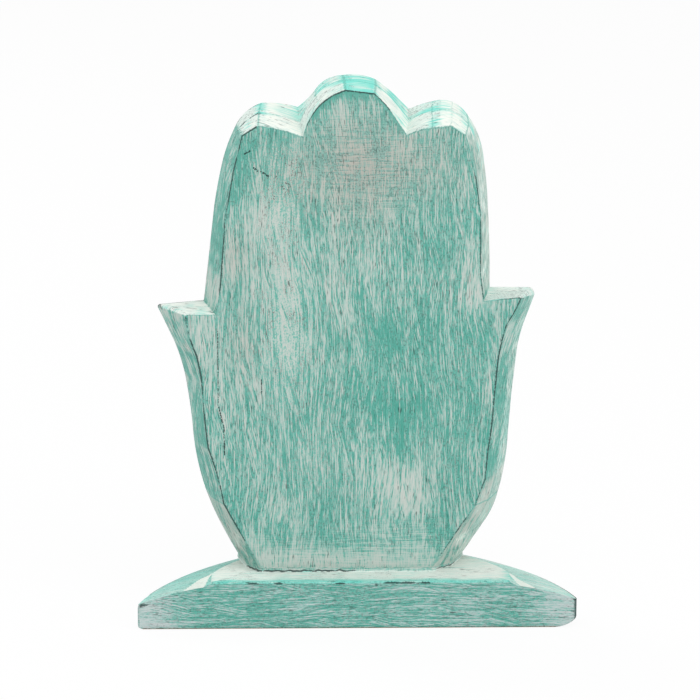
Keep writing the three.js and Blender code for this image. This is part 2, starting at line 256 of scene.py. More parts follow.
def niche_reach(angle):
    """Distance from the middle of the head to the niche's outline in each direction."""
    offset = niche_outline() - HEAD_MIDDLE
    around = np.arctan2(offset[:, 1], offset[:, 0])
    order = np.argsort(around)
    reach = np.hypot(*offset[order].T)
    return np.interp(angle, around[order], reach, period=2 * np.pi)


def oval(u, v, middle, half_width, half_height, rise, power=0.5):
    """A rounded form on an oval foot: 1 - u² - v² in its own sizes, to a power."""
    inside = 1 - (u / half_width) ** 2 - ((v - middle) / half_height) ** 2
    return rise * np.clip(inside, 0, None) ** power


def mound(u, v, at_u, at_v, size_u, size_v, rise):
    """A soft mound, or a dent where rise is negative: a bell of the distance in its sizes."""
    return rise * np.exp(-((u - at_u) / size_u) ** 2 - ((v - at_v) / size_v) ** 2)


def eye_relief(side, v):
    """Lowered lid, the slit under it and the fold above it, around one eye."""
    across = side - 15.5
    lid = oval(across, v, 120.8, 11, 5.2, 2.2, 0.6)
    ends = smooth_step(12.5 - np.abs(across), 0, 2)
    slit = bell(v - (119.2 - 1.7 * np.cos(across / 11 * np.pi / 2)), 0.9) * 1.7
    fold = bell(v - (123.2 + 3.2 * np.cos(np.clip(across / 12, -1, 1) * np.pi / 2)), 0.8) * 0.8
    return lid - (slit + fold) * ends


def brow_relief(side, v):
    """A calm brow: one long arc from the root of the nose to the temple."""
    arc = 128.6 + 5.2 * np.sin(np.clip(side / 29, 0, 1) * np.pi * 0.93) ** 0.8
    ends = smooth_step(31 - side, 0, 7) * smooth_step(side, 1.5, 6)
    return (bell(v - arc, 1.3) * 1.3 - bell(v - arc + 2.6, 1.1) * 0.5) * ends


def nose_relief(side, v):
    """A straight ridge that widens and rises to the tip, with two soft wings."""
    share = np.clip((130 - v) / 27.5, 0, 1)
    half_width = 2.2 + 2.6 * share ** 1.5
    ridge = (0.8 + 2.4 * share ** 1.1) * np.exp(-(side / half_width) ** 2.6)
    ridge *= smooth_step(v, 99, 102.6) * smooth_step(138 - v, 0, 9)
    return ridge + mound(side, v, 5.1, 102.6, 2.4, 2.4, 1.7)


def mouth_relief(u, side, v):
    """Full lips that meet in a line whose ends turn up a little."""
    meeting = 91.6 + 0.014 * u * u
    ends = smooth_step(12.5 - side, 0, 3)
    upper = oval(u, v, 92.8, 12, 4, 1.6, 0.7) * (v > meeting) - mound(u, v, 0, 96.8, 2.2, 1.4, 0.6)
    lower = oval(u, v, 89.8, 9.5, 4.2, 1.8, 0.7) * (v <= meeting)
    return (upper + lower - bell(v - meeting, 0.75) * 1.1) * ends


def face_relief(u, v):
    """An oval face that narrows to the chin, with the features laid on it."""
    side = np.abs(u)
    narrowing = 1 - 0.16 * smooth_step(109 - v, 0, 42)
    form = oval(u / narrowing, v, 117, 35, 47, 8.2, 0.42)
    features = brow_relief(side, v) + eye_relief(side, v) + nose_relief(side, v)
    features += mouth_relief(u, side, v)
    features += mound(side, v, 20, 105, 9, 9, 0.8) + mound(u, v, 0, 78, 6.5, 5, 1.1)
    features -= mound(side, v, 15, 124.5, 10, 5.5, 1.8) + mound(side, v, 6.5, 124, 3.2, 5, 0.9)
    features -= mound(u, v, 0, 84, 7, 2, 0.7)
    features += mound(u, v, 0, 139.5, 1.9, 1.9, 1)
    return np.where(form > 0, form + features, 0)


CURL_PITCH = (5.8, 5.0)


def curls(u, v):
    """Snail-shell curls: small domes with a dimple, in rows set half a pitch apart."""
    row = np.floor(v / CURL_PITCH[1])
    shift = (row % 2) * 0.5
    middle_u = (np.floor(u / CURL_PITCH[0] + shift) + 0.5 - shift) * CURL_PITCH[0]
    middle_v = (row + 0.5) * CURL_PITCH[1]
    radius = np.hypot(u - middle_u, v - middle_v)
    dome = 1.9 * np.sqrt(np.clip(1 - (radius / 3.1) ** 2, 0, None))
    return dome - 0.5 * bell(radius, 0.9) - 1.2


def hair_relief(u, v):
    """The cap of curls above an arched hairline, with a plain band along its front."""
    side = np.abs(u)
    hairline = 147 - 0.0135 * side ** 2 - 0.00001 * side ** 4
    cap = oval(u, v, 140, 41.5, 43, 8.4, 0.45)
    hair = np.where(cap > 0, cap + curls(u, v), 0) * (v > hairline)
    band = bell(v - hairline, 1.3) * (cap > 2) * (cap + 0.4)
    return np.maximum(hair, band)


def crown_relief(u, v):
    """The knot of hair and the flame on top of it."""
    knot = oval(u, v, 182, 17, 15, 8.4)
    knot = np.where(knot > 0, knot + curls(u, v), 0)
    climb = np.clip((v - 194) / 17, 0, 1)
    half_width = 5.6 * np.sqrt(1 - climb) * (0.55 + 0.9 * np.sqrt(climb)) + 0.01
    flame = 5.5 * np.sqrt(np.clip(1 - (u / half_width) ** 2, 0, None)) * ((v > 194) & (v < 211))
    return np.maximum(knot, flame)


def ear_relief(u, v):
    """A long ear: a rounded strip hollowed along its middle, with a slit lobe."""
    side = np.abs(u)
    middle = 38 + 1.4 * np.sin((v - 82) / 55 * np.pi)
    body = np.clip(1 - ((v - 107.5) / 27.5) ** 2, 0, 1)
    half_width = 2.5 + 4 * np.sqrt(body) * (0.65 + 0.35 * np.sin((v - 80) / 55 * np.pi))
    across = (side - middle) / half_width
    form = 6.4 * np.clip(1 - across ** 2, 0, None) ** 0.4 * body ** 0.25
    hollow = 2.2 * bell(across, 0.35) * smooth_step(v, 87, 93) * smooth_step(131 - v, 0, 6)
    slit = oval(side - 37.5, v, 86, 1.8, 4, 3.5, 0.4)
    return np.where(form > 0, np.maximum(form - hollow - slit, 0), 0)


def bust_relief(u, v):
    """Neck with three folds, and shoulders that run down behind the lotus."""
    side = np.abs(u)
    spread = 19 + 0.02 * np.clip(75 - v, 0, None) ** 2
    neck = 5.2 * np.clip(1 - (side / spread) ** 2, 0, None) ** 0.45 * (v < 89)
    for fold in (71, 65.5, 60):
        neck -= 0.9 * bell(v - fold + 1.5 - 0.010 * u * u, 1.15) * (neck > 0)
    slope = np.clip((58 - 0.0075 * side ** 2 - v) / 12, 0, 1)
    shoulders = 6 * slope ** 0.45 * (0.4 + 0.6 * smooth_step(v, 33, 42))
    return np.maximum(neck, shoulders)


LOTUS_TOP = 34
LOTUS_PITCH = 15.6


def lotus_relief(u, v):
    """A row of upright lotus petals along the sill, a narrower row showing between them."""
    form = np.zeros_like(u)
    for shift, top, rise in ((0.5, LOTUS_TOP + 4, 6.4), (0, LOTUS_TOP, 9)):
        across = (u / LOTUS_PITCH + shift) % 1 * 2 - 1
        climb = np.clip((v - 8) / (top - 8), 0, 1)
        half_width = 0.97 * (1 - climb ** 3) ** 0.75 + 1e-3
        share = np.abs(across) / half_width
        petal = rise * np.clip(1 - share ** 6, 0, None) ** 0.35 - 0.7 * bell(share - 0.8, 0.07)
        petal += 0.5 * bell(across, 0.16) * (1 - climb)
        form = np.maximum(form, np.where((share < 1) & (v < top), petal, 0))
    return form


def niche_relief(x, height):
    """Height of the carving above the niche floor, never above the face of the board."""
    u = x - HEAD_MIDDLE[0]
    floor = 0.35 * blotches(x, height, 11, 5) + 0.25
    parts = [
        face_relief(u, height) * (height < 150),
        hair_relief(u, height),
        crown_relief(u, height),
        ear_relief(u, height),
        bust_relief(u, height),
        lotus_relief(u, height),
    ]
    form = np.maximum.reduce(parts)
    return np.clip(np.where(form > 0.3, form, floor), -0.4, NICHE_DEPTH)


CUT_SOFTNESS = 0.65


def worn_relief(x, height):
    """The relief with its steep sides softened by paint: a mean over a small square."""
    steps = (-CUT_SOFTNESS, 0, CUT_SOFTNESS)
    return np.mean([niche_relief(x + dx, height + dy) for dx in steps for dy in steps], axis=0)


def groove_depth(x, height):
    """The V cut between two fingers, running out at the arch of the niche."""
    depth = np.zeros_like(x)
    for corner in (LEFT_NOTCH, RIGHT_NOTCH):
        notch_x, notch_height = EDGE_CORNERS[corner, 3:5]
        share = np.clip((height - GROOVE_END_HEIGHT) / (notch_height - GROOVE_END_HEIGHT), 0, 1.2)
        across = np.abs(x - notch_x * (0.9 + 0.1 * share)) / (GROOVE_HALF_WIDTH * (0.5 + share / 2))
        fade = smooth_step(notch_height - height, 0, 7)
        depth = np.maximum(depth, GROOVE_DEPTH * share ** 0.6 * fade * np.clip(1 - across, 0, 1))
    return depth


# Meshes from grids

def ring_faces(ring_count, count):
    """Quads between neighbouring rings that close on themselves."""
    ring, i = np.meshgrid(np.arange(ring_count - 1), np.arange(count), indexing="ij")
    a = ring * count + i
    b = ring * count + (i + 1) % count
    return np.stack([a, b, b + count, a + count], axis=-1).reshape(-1, 4)


def fan_faces(first, count, middle, flipped):
    """Triangles from a ring to one middle point."""
    i = np.arange(count)
    a, b = first + i, first + (i + 1) % count
    return np.stack([b, a, np.full(count, middle)] if flipped
                    else [a, b, np.full(count, middle)], axis=-1)


def new_object(name, data):
    """An object in the scene for a mesh, a lamp or the camera."""
    obj = bpy.data.objects.new(name, data)
    bpy.context.scene.collection.objects.link(obj)
    return obj


def mesh_object(name, points, face_groups, paint, brush):
    """A mesh object from points in millimetres, faces, paint at each point and strokes.

    brush gives one (across, along) pair in millimetres for each face corner.
    """
    faces = [face for group in face_groups for face in group.tolist()]
    mesh = bpy.data.meshes.new(name)
    mesh.from_pydata((points * MM).tolist(), [], faces)
    mesh.polygons.foreach_set("use_smooth", np.ones(len(faces), bool))
    for key, values in paint.items():
        layer = mesh.attributes.new(key, "FLOAT", "POINT")
        layer.data.foreach_set("value", np.asarray(values, dtype=np.float32))
    layer = mesh.uv_layers.new(name="brush")
    layer.data.foreach_set("uv", np.asarray(brush, dtype=np.float32).ravel())
    mesh.update()
    return new_object(name, mesh)


# Where paint lies on the hand: soft patches that brighten or bare the dry-brushed plain side,
# as x, height, half width, half height and how much paler (or, below 0, how much bluer)
PALE_PATCHES = (
    (-45, 196, 13, 20, 0.38),
    (-41, 160, 12, 22, 0.3),
    (-34, 126, 12, 22, 0.26),
    (-56, 116, 9, 22, 0.12),
    (-68, 180, 4, 14, 0.3),
    (-82, 128, 9, 16, 0.35),
    (-78, 92, 6, 40, 0.12),
    (-61, 226, 6, 16, -0.36),
    (-44, 238, 14, 10, -0.14),
    (-9, 166, 7, 22, 0.3),
    (12, 180, 9, 20, 0.16),
    (-8, 256, 10, 9, 0.28),
    (25, 236, 8, 10, 0.2),
    (38, 200, 18, 26, -0.04),
    (66, 158, 9, 14, 0.36),
    (28, 132, 28, 14, -0.24),
    (24, 88, 24, 22, -0.32),
    (64, 92, 8, 34, -0.14),
    (24, 44, 18, 20, 0.4),
    (-40, 44, 14, 30, 0.12),
    (-12, 40, 8, 20, -0.1),
    (44, 36, 9, 20, -0.12),
    (-5, 3, 90, 8, 0.42),
)
# The same for strokes across the grain, greying from hands and open pores
CROSS_PATCHES = ((6, 228, 30, 28, 0.95), (-12, 8, 60, 14, 0.6), (30, 14, 30, 14, 0.5))
GREY_PATCHES = ((2, 224, 26, 30, 0.9), (-34, 224, 28, 20, 0.3), (38, 226, 24, 18, 0.4),
                (-66, 176, 8, 14, 0.5), (-62, 128, 8, 20, 0.4))
PIT_PATCHES = ((-40, 215, 14, 34, 0.9), (-38, 132, 16, 40, 0.8), (60, 118, 16, 20, 0.35),
               (-20, 60, 34, 30, 0.35))
# Strokes on the carved side are read this much further along, so the two sides differ
CARVED_BRUSH_SHIFT = 400
# Marks on the edge are broader than on the faces, as if laid with the side of the brush
EDGE_MARK_WIDENING = 2.5
# Scratches filled with wax on the plain side: two ends as x, z and the half width
HAND_SCRATCHES = (
    ((-75.4, 163), (-75.4, 122), 0.5),
    ((-75.4, 122), (-72.4, 109), 0.75),
    ((-72.4, 109), (-72.2, 93.6), 0.75),
    ((-51.8, 136), (-51.8, 127), 0.6),
    ((-55.2, 253.2), (-53.4, 251.6), 1.1),
    ((-51.2, 251.2), (-47.4, 248.6), 1.1),
    ((-60, 261), (-57, 262.5), 1.0),
)


def patches(table, x, height):
    """The sum of a table's soft oval patches, each a mound of paint."""
    total = np.zeros_like(x)
    for at_x, at_height, half_x, half_height, amount in table:
        total += mound(x, height, at_x, at_height, half_x, half_height, amount)
    return total


# A ring is its points, the zone of the piece that it belongs to and its paint by key

def ring_at(x, y, height, zone, **paint):
    """One ring of the hand, with its height measured from the foot."""
    return np.stack([x, np.broadcast_to(y, x.shape), FOOT_Z + height], axis=-1), zone, paint


def joined(rings):
    """The points of all rings in one array, and every kind of paint at each of them."""
    paint = {key: np.concatenate([np.broadcast_to(laid.get(key, 0.0), len(points))
                                  for points, _, laid in rings]) for key in PAINT_KEYS}
    return np.concatenate([points for points, _, _ in rings]), paint


def plain_rings(plain, facet):
    """Rings from the middle of the plain side to its border, closest together at the border.

    A ring near the border lies a fixed inset inside it. The others shrink in proportion to the
    distance from the middle.
    """
    offset = plain - HEAD_MIDDLE
    radius = np.hypot(*offset.T)
    shortest = radius.min()
    on_ground = facet == FOOT_FACET
    dark = plain_line_strength(plain, facet)
    rings = []
    for inset in np.concatenate([[0.97 * shortest], np.linspace(0.9, 0.05, 22) * shortest,
                                 [2.2, 1.4, 0.8, 0.35]]):
        share_in = (radius - min(inset, BORDER_BAND)) / radius
        if inset > BORDER_BAND:
            share_in *= 1 - (inset - BORDER_BAND) / (shortest - BORDER_BAND)
        x, height = (HEAD_MIDDLE + offset * share_in[:, None]).T
        worn = PLAIN_WEAR + 0.25 * bell(inset, 1.5)
        wavy = np.clip(0.12 * blotches(x, height, 34, 11), -0.14, 0.3)
        finger = (np.abs(x) < 24) & (height > 240)
        pale = 0.43 + patches(PALE_PATCHES, x, height) + 0.08 * blotches(x, height, 30, 3)
        pale = pale - finger * bell(inset, 3) * np.where(x < 6, 0.8, 0.4)
        soft = {key: np.clip(patches(table, x, height), 0, 1) for key, table in (
            ("cross", CROSS_PATCHES), ("pits", PIT_PATCHES), ("grey", GREY_PATCHES))}
        rings.append(ring_at(x, PLAIN_Y + worn + wavy, height, "plain", pale=pale,
                             line=dark * bell(inset, 0.8),
                             seam=0.7 * bell(inset, 1.2) * ~on_ground, **soft))
    return rings


def joint_strengths():
    """How clearly the joint at each corner of the edge shows."""
    strength = np.full(len(EDGE_CORNERS), PLAIN_JOINT)
    strength[list(HIDDEN_JOINTS)] = 0
    strength[list(CLEAR_JOINTS)] = list(CLEAR_JOINTS.values())
    return strength


def edge_rings(plain, carved, facet, share, along):
    """Rings over the chisel-cut edge: two strips of facets that meet at a ridge.

    A point goes straight from the plain outline to the carved one. It is moved by the ridge's
    offset times how far it has climbed from its border to the ridge, to a power.
    """
    chord = np.roll(carved, -1, axis=0) - carved
    outward = np.stack([-chord[:, 1], chord[:, 0]], axis=-1)
    outward /= np.maximum(np.hypot(*outward.T), 1e-6)[:, None]
    upward = np.clip(outward[:, 1], 0, 1)
    on_ground = facet == FOOT_FACET
    dark = plain_line_strength(plain, facet)
    ridge_share, ridge_offset = ridge_line(facet, share)
    fullness = 1 - 0.4 * smooth_step(np.hypot(*ridge_offset.T), 2, 5)
    strength = joint_strengths()
    run = np.bincount(facet) * EDGE_SPACING
    nearest = np.where(share < 0.5, strength[facet], np.roll(strength, -1)[facet])
    beside_joint = nearest * bell(np.minimum(share, 1 - share) * run[facet], 3.2)
    tones = np.random.default_rng(8).uniform(-0.2, 0.2, (2, len(EDGE_CORNERS)))
    near = np.concatenate([[0.0, 0.03, 0.08], np.linspace(0.18, 0.9, NEAR_RINGS - 3)])
    far = np.concatenate([np.linspace(0, 0.9, 8), [0.94, 0.97, 1.0]])
    rings = []
    for strip, t in [(0, t) for t in near] + [(1, t) for t in far]:
        step = ridge_share + (1 - ridge_share) * t if strip else ridge_share * t
        climb = 1 - t if strip else t
        mix = plain + (carved - plain) * step[:, None]
        x, height = (mix + ridge_offset * (climb ** fullness)[:, None]).T
        height = np.where(on_ground, 0, np.maximum(height, 0))
        y = PLAIN_Y + BORDER_WEAR + (BOARD_THICKNESS - BORDER_WEAR) * step
        border = bell(step * BOARD_THICKNESS, 1.1)
        ledge = (outward[:, 1] > 0.8) * (np.abs(x) > LEDGE_X) * (height < 156) * border
        at_ridge = bell(climb - 1, 0.16) * (np.abs(x) < 66)
        paint = edge_paint(strip, x, height, outward, facet, tones[strip, facet])
        paint["aqua"] = paint["aqua"] + ledge + upward * (
            0.4 * beside_joint + 0.3 * at_ridge - 0.1 - 0.15 * (x > 30))

        # wax in a line near the carved border, in cracks over the left finger and on two tips
        joint = (share == 0) * (0 < step) * strength[facet]
        on_ridge = strip == 1 and t == 0
        ridge = on_ridge * (0.6 + 0.3 * waves(along / 9, 14))
        rim_line = (strip == 1) * bell(t - 0.97, 0.03) * (x < -52) * (
            0.8 + 0.9 * waves(along / 34, 27))
        cracked = on_ridge * smooth_step(-x, 40, 56) * bell(height - 246, 14)
        tip = bell(np.hypot(x + 107, height - 141.5), 1.6) + 0.7 * bell(
            np.hypot(x - 90, height - 151.5), 1.6)
        line = dark * bell(step * BOARD_THICKNESS, 0.85) + np.clip(rim_line, 0, 1)
        line = line + cracked * (0.9 + 1.4 * waves(along / 6, 35)) + 0.7 * tip
        line = line + 0.3 * joint * (upward < 0.5)
        seam = np.maximum(np.maximum(joint, ridge), 0.7 * border) * ~on_ground
        rings.append(ring_at(x, y, height, "edge", seam=seam, line=np.clip(line, 0, 1), **paint))
    return rings


def carved_rings(carved):
    """Rings over the carved side: its border, the wall of the niche and the relief in it.

    A ring lies a share of the way from one outline to the next, along rays from the middle of
    the head.
    """
    offset = carved - HEAD_MIDDLE
    radius = np.hypot(*offset.T)
    unit = offset / radius[:, None]
    angle = np.arctan2(offset[:, 1], offset[:, 0])
    lip = niche_reach(angle) + LIP_WIDTH
    floor = niche_reach(angle) - NICHE_DRAFT
    rings = []
    for step in np.concatenate([[0.006, 0.02], np.linspace(0.06, 1, 16)]):
        reach = radius + (lip - radius) * step
        x, height = (HEAD_MIDDLE + unit * reach[:, None]).T
        from_edge = radius - reach
        y = CARVED_Y - 0.5 * bell(from_edge, 1.1) - groove_depth(x, height)
        y -= LIP_WEAR * bell(reach - lip, 0.7)
        groove = np.clip(groove_depth(x, height) / GROOVE_DEPTH, 0, 1)
        rings.append(ring_at(
            x, y, height, "carved", pale=0.5 + 0.15 * blotches(x, height, 26, 21),
            line=np.clip(0.8 * groove ** 1.5 + 0.5 * bell(from_edge, 0.8), 0, 1),
            bare=0.35 * bell(from_edge - 2.5, 1.5) + 0.3 * bell(reach - lip - 2, 1.5)))
    for step in (0.25, 0.5, 0.75, 1):
        x, height = (HEAD_MIDDLE + unit * (lip + (floor - lip) * step)[:, None]).T
        relief = worn_relief(x, height) if step == 1 else 0
        y = CARVED_Y - LIP_WEAR - (NICHE_DEPTH - LIP_WEAR) * step + relief
        rings.append(ring_at(x, y, height, "wall", pale=0.34, line=0.2 + 0.25 * step,
                             worked=0.5))
    for step in np.concatenate([np.linspace(0.985, 0.52, 34), np.linspace(0.51, 0.02, 52)]):
        x, height = (HEAD_MIDDLE + unit * (floor * step)[:, None]).T
        relief = worn_relief(x, height)
        rings.append(ring_at(x, CARVED_Y - NICHE_DEPTH + relief, height, "carved", aqua=0.2,
                             worked=1, **relief_shade(x, height, relief)))
    return rings


def hand_piece():
    """The carved board: rings from the middle of the plain side, over the edge, to the niche.

    Returns the piece and the outline of its foot from above.
    """
    plain, carved, facet, share, along = edge_samples()
    rings = plain_rings(plain, facet) + edge_rings(plain, carved, facet, share, along)
    rings += carved_rings(carved)
    points, paint = joined(rings)
    zones = np.array([zone for _, zone, _ in rings])
    count, total = len(plain), len(points)
    middle_x, middle_height = HEAD_MIDDLE
    relief = niche_relief(np.array([middle_x]), np.array([middle_height]))[0]
    points = np.concatenate([points, [
        (middle_x, PLAIN_Y + PLAIN_WEAR, FOOT_Z + middle_height),
        (middle_x, CARVED_Y - NICHE_DEPTH + relief, FOOT_Z + middle_height)]])
    quads = ring_faces(len(rings), count)
    fans = [fan_faces(0, count, total, True), fan_faces(total - count, count, total + 1, False)]

    # strokes run upright on the faces, and along the outline on the edge and the niche's wall
    quad_zone = np.repeat(zones[1:], count)
    corner = points[quads]
    corner_along = np.tile(along, len(rings))[quads]
    wrapped = np.ptp(corner_along, axis=1) > 100
    corner_along = np.where(wrapped[:, None] & (corner_along < 50),
                            corner_along + along.max() + EDGE_SPACING, corner_along)
    edge = np.stack([corner[..., 1] / EDGE_MARK_WIDENING, corner_along], axis=-1)
    on_wall = np.isin(quad_zone, ("edge", "wall"))[:, None, None]
    brush = np.where(on_wall, edge, corner[..., [0, 2]])
    brush = brush + np.where((quad_zone == "carved")[:, None, None], CARVED_BRUSH_SHIFT, 0)
    brush = np.concatenate([brush.reshape(-1, 2)]
                           + [points[fan][..., [0, 2]].reshape(-1, 2) for fan in fans])

    paint = {key: np.append(values, values[[0, -1]]) for key, values in paint.items()}
    piece = mesh_object("hand_carved", points, [quads] + fans, paint, brush)
    crease_facets(piece, zones == "edge", share == 0)
    left_foot = np.flatnonzero(zones == "edge") * count
    right_foot = left_foot + np.argmax(facet == FOOT_FACET)
    return piece, np.concatenate([points[left_foot], points[right_foot][::-1]])[:, :2]


def crease_facets(piece, on_edge, at_corner):
    """Crease the mesh along the ridge of the edge, its two borders and the facet joints."""
    mesh = piece.data
    ends = np.empty(len(mesh.edges) * 2, np.int32)
    mesh.edges.foreach_get("vertices", ends)
    ring, column = np.divmod(ends.reshape(-1, 2), len(at_corner))
    on_edge = np.append(on_edge, False)
    ring = np.minimum(ring, len(on_edge) - 1)
    first, last = np.flatnonzero(on_edge)[[0, -1]]
    same_ring = ring[:, 0] == ring[:, 1]
    around = same_ring & np.isin(ring[:, 0], (first, first + NEAR_RINGS, last))
    joint = ~same_ring & on_edge[ring].all(axis=1) & at_corner[column].all(axis=1)
    layer = mesh.attributes.new("sharp_edge", "BOOLEAN", "EDGE")
    layer.data.foreach_set("value", around | joint)


def ridge_line(facet, share):
    """Where the ridge of the edge lies and how it stands proud, straight between corners.

    At a corner the ridge is moved along the mean of the two facets' normals. Returns its share
    of the way through the board, and its offset as x, height.
    """
    random = np.random.default_rng(8)
    count = len(EDGE_CORNERS)
    lies = random.uniform(*RIDGE_SHARE, count)
    stands = random.uniform(*RIDGE_LIFT, count)
    lies[[0, -1]], stands[[0, -1]] = FOOT_RIDGE_SHARE, FOOT_RIDGE_LIFT
    chord = np.roll(EDGE_CORNERS[:, 3:5], -1, axis=0) - EDGE_CORNERS[:, 3:5]
    normal = np.stack([-chord[:, 1], chord[:, 0]], axis=-1) / np.hypot(*chord.T)[:, None]
    mean = normal + np.roll(normal, 1, axis=0)
    mean /= np.hypot(*mean.T)[:, None]
    mean[0], mean[-1] = (-1, 0), (1, 0)
    offset = mean * stands[:, None]
    following = (facet + 1) % count
    return (lies[facet] + (lies[following] - lies[facet]) * share,
            offset[facet] + (offset[following] - offset[facet]) * share[:, None])


def edge_paint(strip, x, height, outward, facet, tone):
    """Paint on the facets of the edge.

    Upward ones are thick and creamy with turquoise dragged over the far strip. The left bevel
    is deep turquoise, the right one pale, most of all above the thumb, and both are pale low
    down, where they were rubbed.
    """
    upward = smooth_step(outward[:, 1], 0.25, 0.75)
    left, right = outward[:, 0] < 0, outward[:, 0] > 0
    thumb = (height > 139) & (height < 154) & (np.abs(x) > 66) & (outward[:, 1] > 0.8)
    low = smooth_step(np.where(x > 0, 52, 39) - height, 0, 5)
    above = right & (height > 154)
    tip = left & (height > 96) & (height < 139)
    over_thumb = left * bell(height - 152, 9)
    mottle = blotches(x * 0.8 + 5 * strip, height, 11, 17)
    pale = 0.34 + 0.8 * tone + 0.38 * low + 0.2 * right * strip + 0.1 * tip
    pale = pale + 0.5 * over_thumb
    pale = pale + 0.25 * mottle * (1 - upward) - 0.14 * left * (height < 96) * (1 - low)
    pale = pale + upward * (0.25 - 0.1 * strip) + 0.4 * above
    bare = upward * (0.95 + 0.5 * tone)
    bare = np.maximum(bare, above * (0.42 + 0.4 * tone + 0.2 * mottle))
    bare = np.maximum(bare, right * strip * 0.42)
    bare = np.maximum(bare, low * (0.2 + 0.2 * mottle))
    aqua = 0.22 + 0.28 * strip + tone + 0.35 * mottle - 0.12 * (x < -30)
    aqua = np.where(upward > 0.3, aqua, 0.5 + tone)
    aqua = np.where(facet == MIDDLE_FACET, 0.95, aqua)
    aqua = np.where(facet == MIDDLE_FACET - 1, 0.4 + 0.35 * strip + 0.3 * mottle, aqua)
    aqua = np.where(thumb, 0.15 + 0.08 * (x > 0) + 0.4 * mottle, aqua)
    tip_facet = facet == RIGHT_TIP_FACET
    bare, aqua = np.where(tip_facet, 0.9, bare), np.where(tip_facet, 0.2, aqua)
    grey = 0.3 * low + 0.3 * above
    return {"pale": pale, "bare": bare, "aqua": aqua, "grey": grey}


def plain_line_strength(plain, facet):
    """How dark the wax line between the plain side and its edge is at each point."""
    x, height = plain.T
    travel = np.arange(len(x)) * EDGE_SPACING
    strength = 0.95 + 0.8 * waves(travel / 22, 4) + 0.35 * waves(travel / 3.6, 9)
    strength = np.where((x > 18) & (height > 220), 0.4, strength)
    strength = np.where((x < -27) & (height > 239), 0.35, strength)
    strength = np.where((x < -54) & (height > 236), 1, strength)
    ledge = (height > 142.5) & (height < 153) & (np.abs(x) > LEDGE_X)
    strength = np.where(ledge, 0.45 + 0.5 * smooth_step(x, 76, 82), strength)
    strength = np.where((x > 0) & (height < 56), 0.72 * strength, strength)
    strength = np.where(height < 24, 0.25 + strength * height / 36, strength)
    strength = np.where(facet == FOOT_FACET, 0, strength)
    return np.clip(strength, 0, 1)


def relief_shade(x, height, relief):
    """Worn high spots and waxed hollows of the carving, and painted shade over its forms.

    Both come from how far a point stands above the mean of the carving around it: close by
    for lines and curls, where dry-brushed paint and wax lie, and further off for the form as a
    whole, which is painted shade: raised forms lighter, low ones darker.
    """
    stands = {}
    for reach in (1.5, 5):
        around = [niche_relief(x + dx, height + dy) for dx, dy in
                  ((reach, 0), (-reach, 0), (0, reach), (0, -reach))]
        stands[reach] = relief - np.mean(around, axis=0)
    close, wide = stands[1.5], stands[5]
    # painted shade: the wide term lightens raised forms and darkens low ones; the close term is
    # worn paint and wax
    return {"pale": np.clip(0.38 + 0.6 * close + 0.35 * wide + 0.03 * relief, 0, 1.4),
            "bare": np.clip(0.9 * close + 0.22 * wide, 0, 0.8),
            "line": np.clip(-1.4 * close - 0.2 * wide, 0, 0.95)}


# The plinth: a half round plan with a level plateau and a sloping rim

PLATEAU_REACH_LEFT = 80
PLATEAU_REACH_RIGHT = 84
PLATEAU_DEPTH = 71
PLATEAU_SQUARE_END = 16
BASE_SQUARE_END = 1.2
RIM_LEFT = 14.4
RIM_RIGHT = 16.5
RIM_BACK = 18.2
RIM_FALL_POWER = 1.45
PLATEAU_STEP = 2.4
STEP_SHARE = 0.12
ARRIS_RADIUS = 0.9
# Sloping cut under the right end: its length, its height and the powers that bow it
END_CUT_LENGTH = 12
END_CUT_HEIGHT = 6.5
END_CUT_POWERS = (1.6, 0.62)
# The left end is rounded at its foot and its top: height of the rounding, how far it draws in
LEFT_FOOT_ROUNDING = (2.8, 2.2)
LEFT_TOP_ROUNDING = (2.4, 1.5)
ARC_COUNT = 420
STRAIGHT_COUNT = 230


def half_round_reach(angle, half_length, depth, square_end):
    """Distance from the middle of the straight side to an arc with two short square ends.

    The arc's circle passes through the tops of the ends and the deepest point, so its radius
    is (half length squared + arc height squared) over twice the arc height.
    """
    arc_height = depth - square_end
    radius = (half_length ** 2 + arc_height ** 2) / (2 * arc_height)
    middle = depth - radius
    across = np.abs(np.cos(angle))
    arc = middle * np.sin(angle) + np.sqrt(radius ** 2 - (middle * across) ** 2)
    return np.minimum(arc, half_length / np.maximum(across, 1e-6))


def plan_loop(outward, inset):
    """A closed loop of the plinth from above: the round side, then the straight one.

    outward 0 is the plateau's edge and 1 the foot of the rim; inset draws the loop in. Returns
    the points, and for each the height of the rim there and how much of an end it is.
    """
    angle = np.linspace(0, np.pi, ARC_COUNT)
    plateau_reach = np.where(angle < np.pi / 2, PLATEAU_REACH_RIGHT, PLATEAU_REACH_LEFT)
    inner = half_round_reach(angle, plateau_reach, PLATEAU_DEPTH, PLATEAU_SQUARE_END)
    outer = half_round_reach(angle, BASE_HALF_LENGTH, BASE_DEPTH, BASE_SQUARE_END)
    reach = inner + (outer - inner) * outward - inset
    arc = np.stack([reach * np.cos(angle), reach * np.sin(angle)], axis=-1)
    arc[:, 1] = np.maximum(arc[:, 1], inset)
    straight_x = np.linspace(arc[-1, 0], arc[0, 0], STRAIGHT_COUNT + 2)[1:-1]
    straight = np.stack([straight_x, np.full(STRAIGHT_COUNT, inset)], axis=-1)
    end_height = np.where(angle < np.pi / 2, RIM_RIGHT, RIM_LEFT)
    rim = RIM_BACK + (end_height - RIM_BACK) * np.cos(angle) ** 4
    share = (straight_x - arc[-1, 0]) / (arc[0, 0] - arc[-1, 0])
    rim = np.concatenate([rim, RIM_LEFT + (RIM_RIGHT - RIM_LEFT) * share])
    ends = np.concatenate([np.cos(angle) ** 2, np.ones(STRAIGHT_COUNT)])
    return np.concatenate([arc, straight]) + [0, STRAIGHT_Y], rim, ends


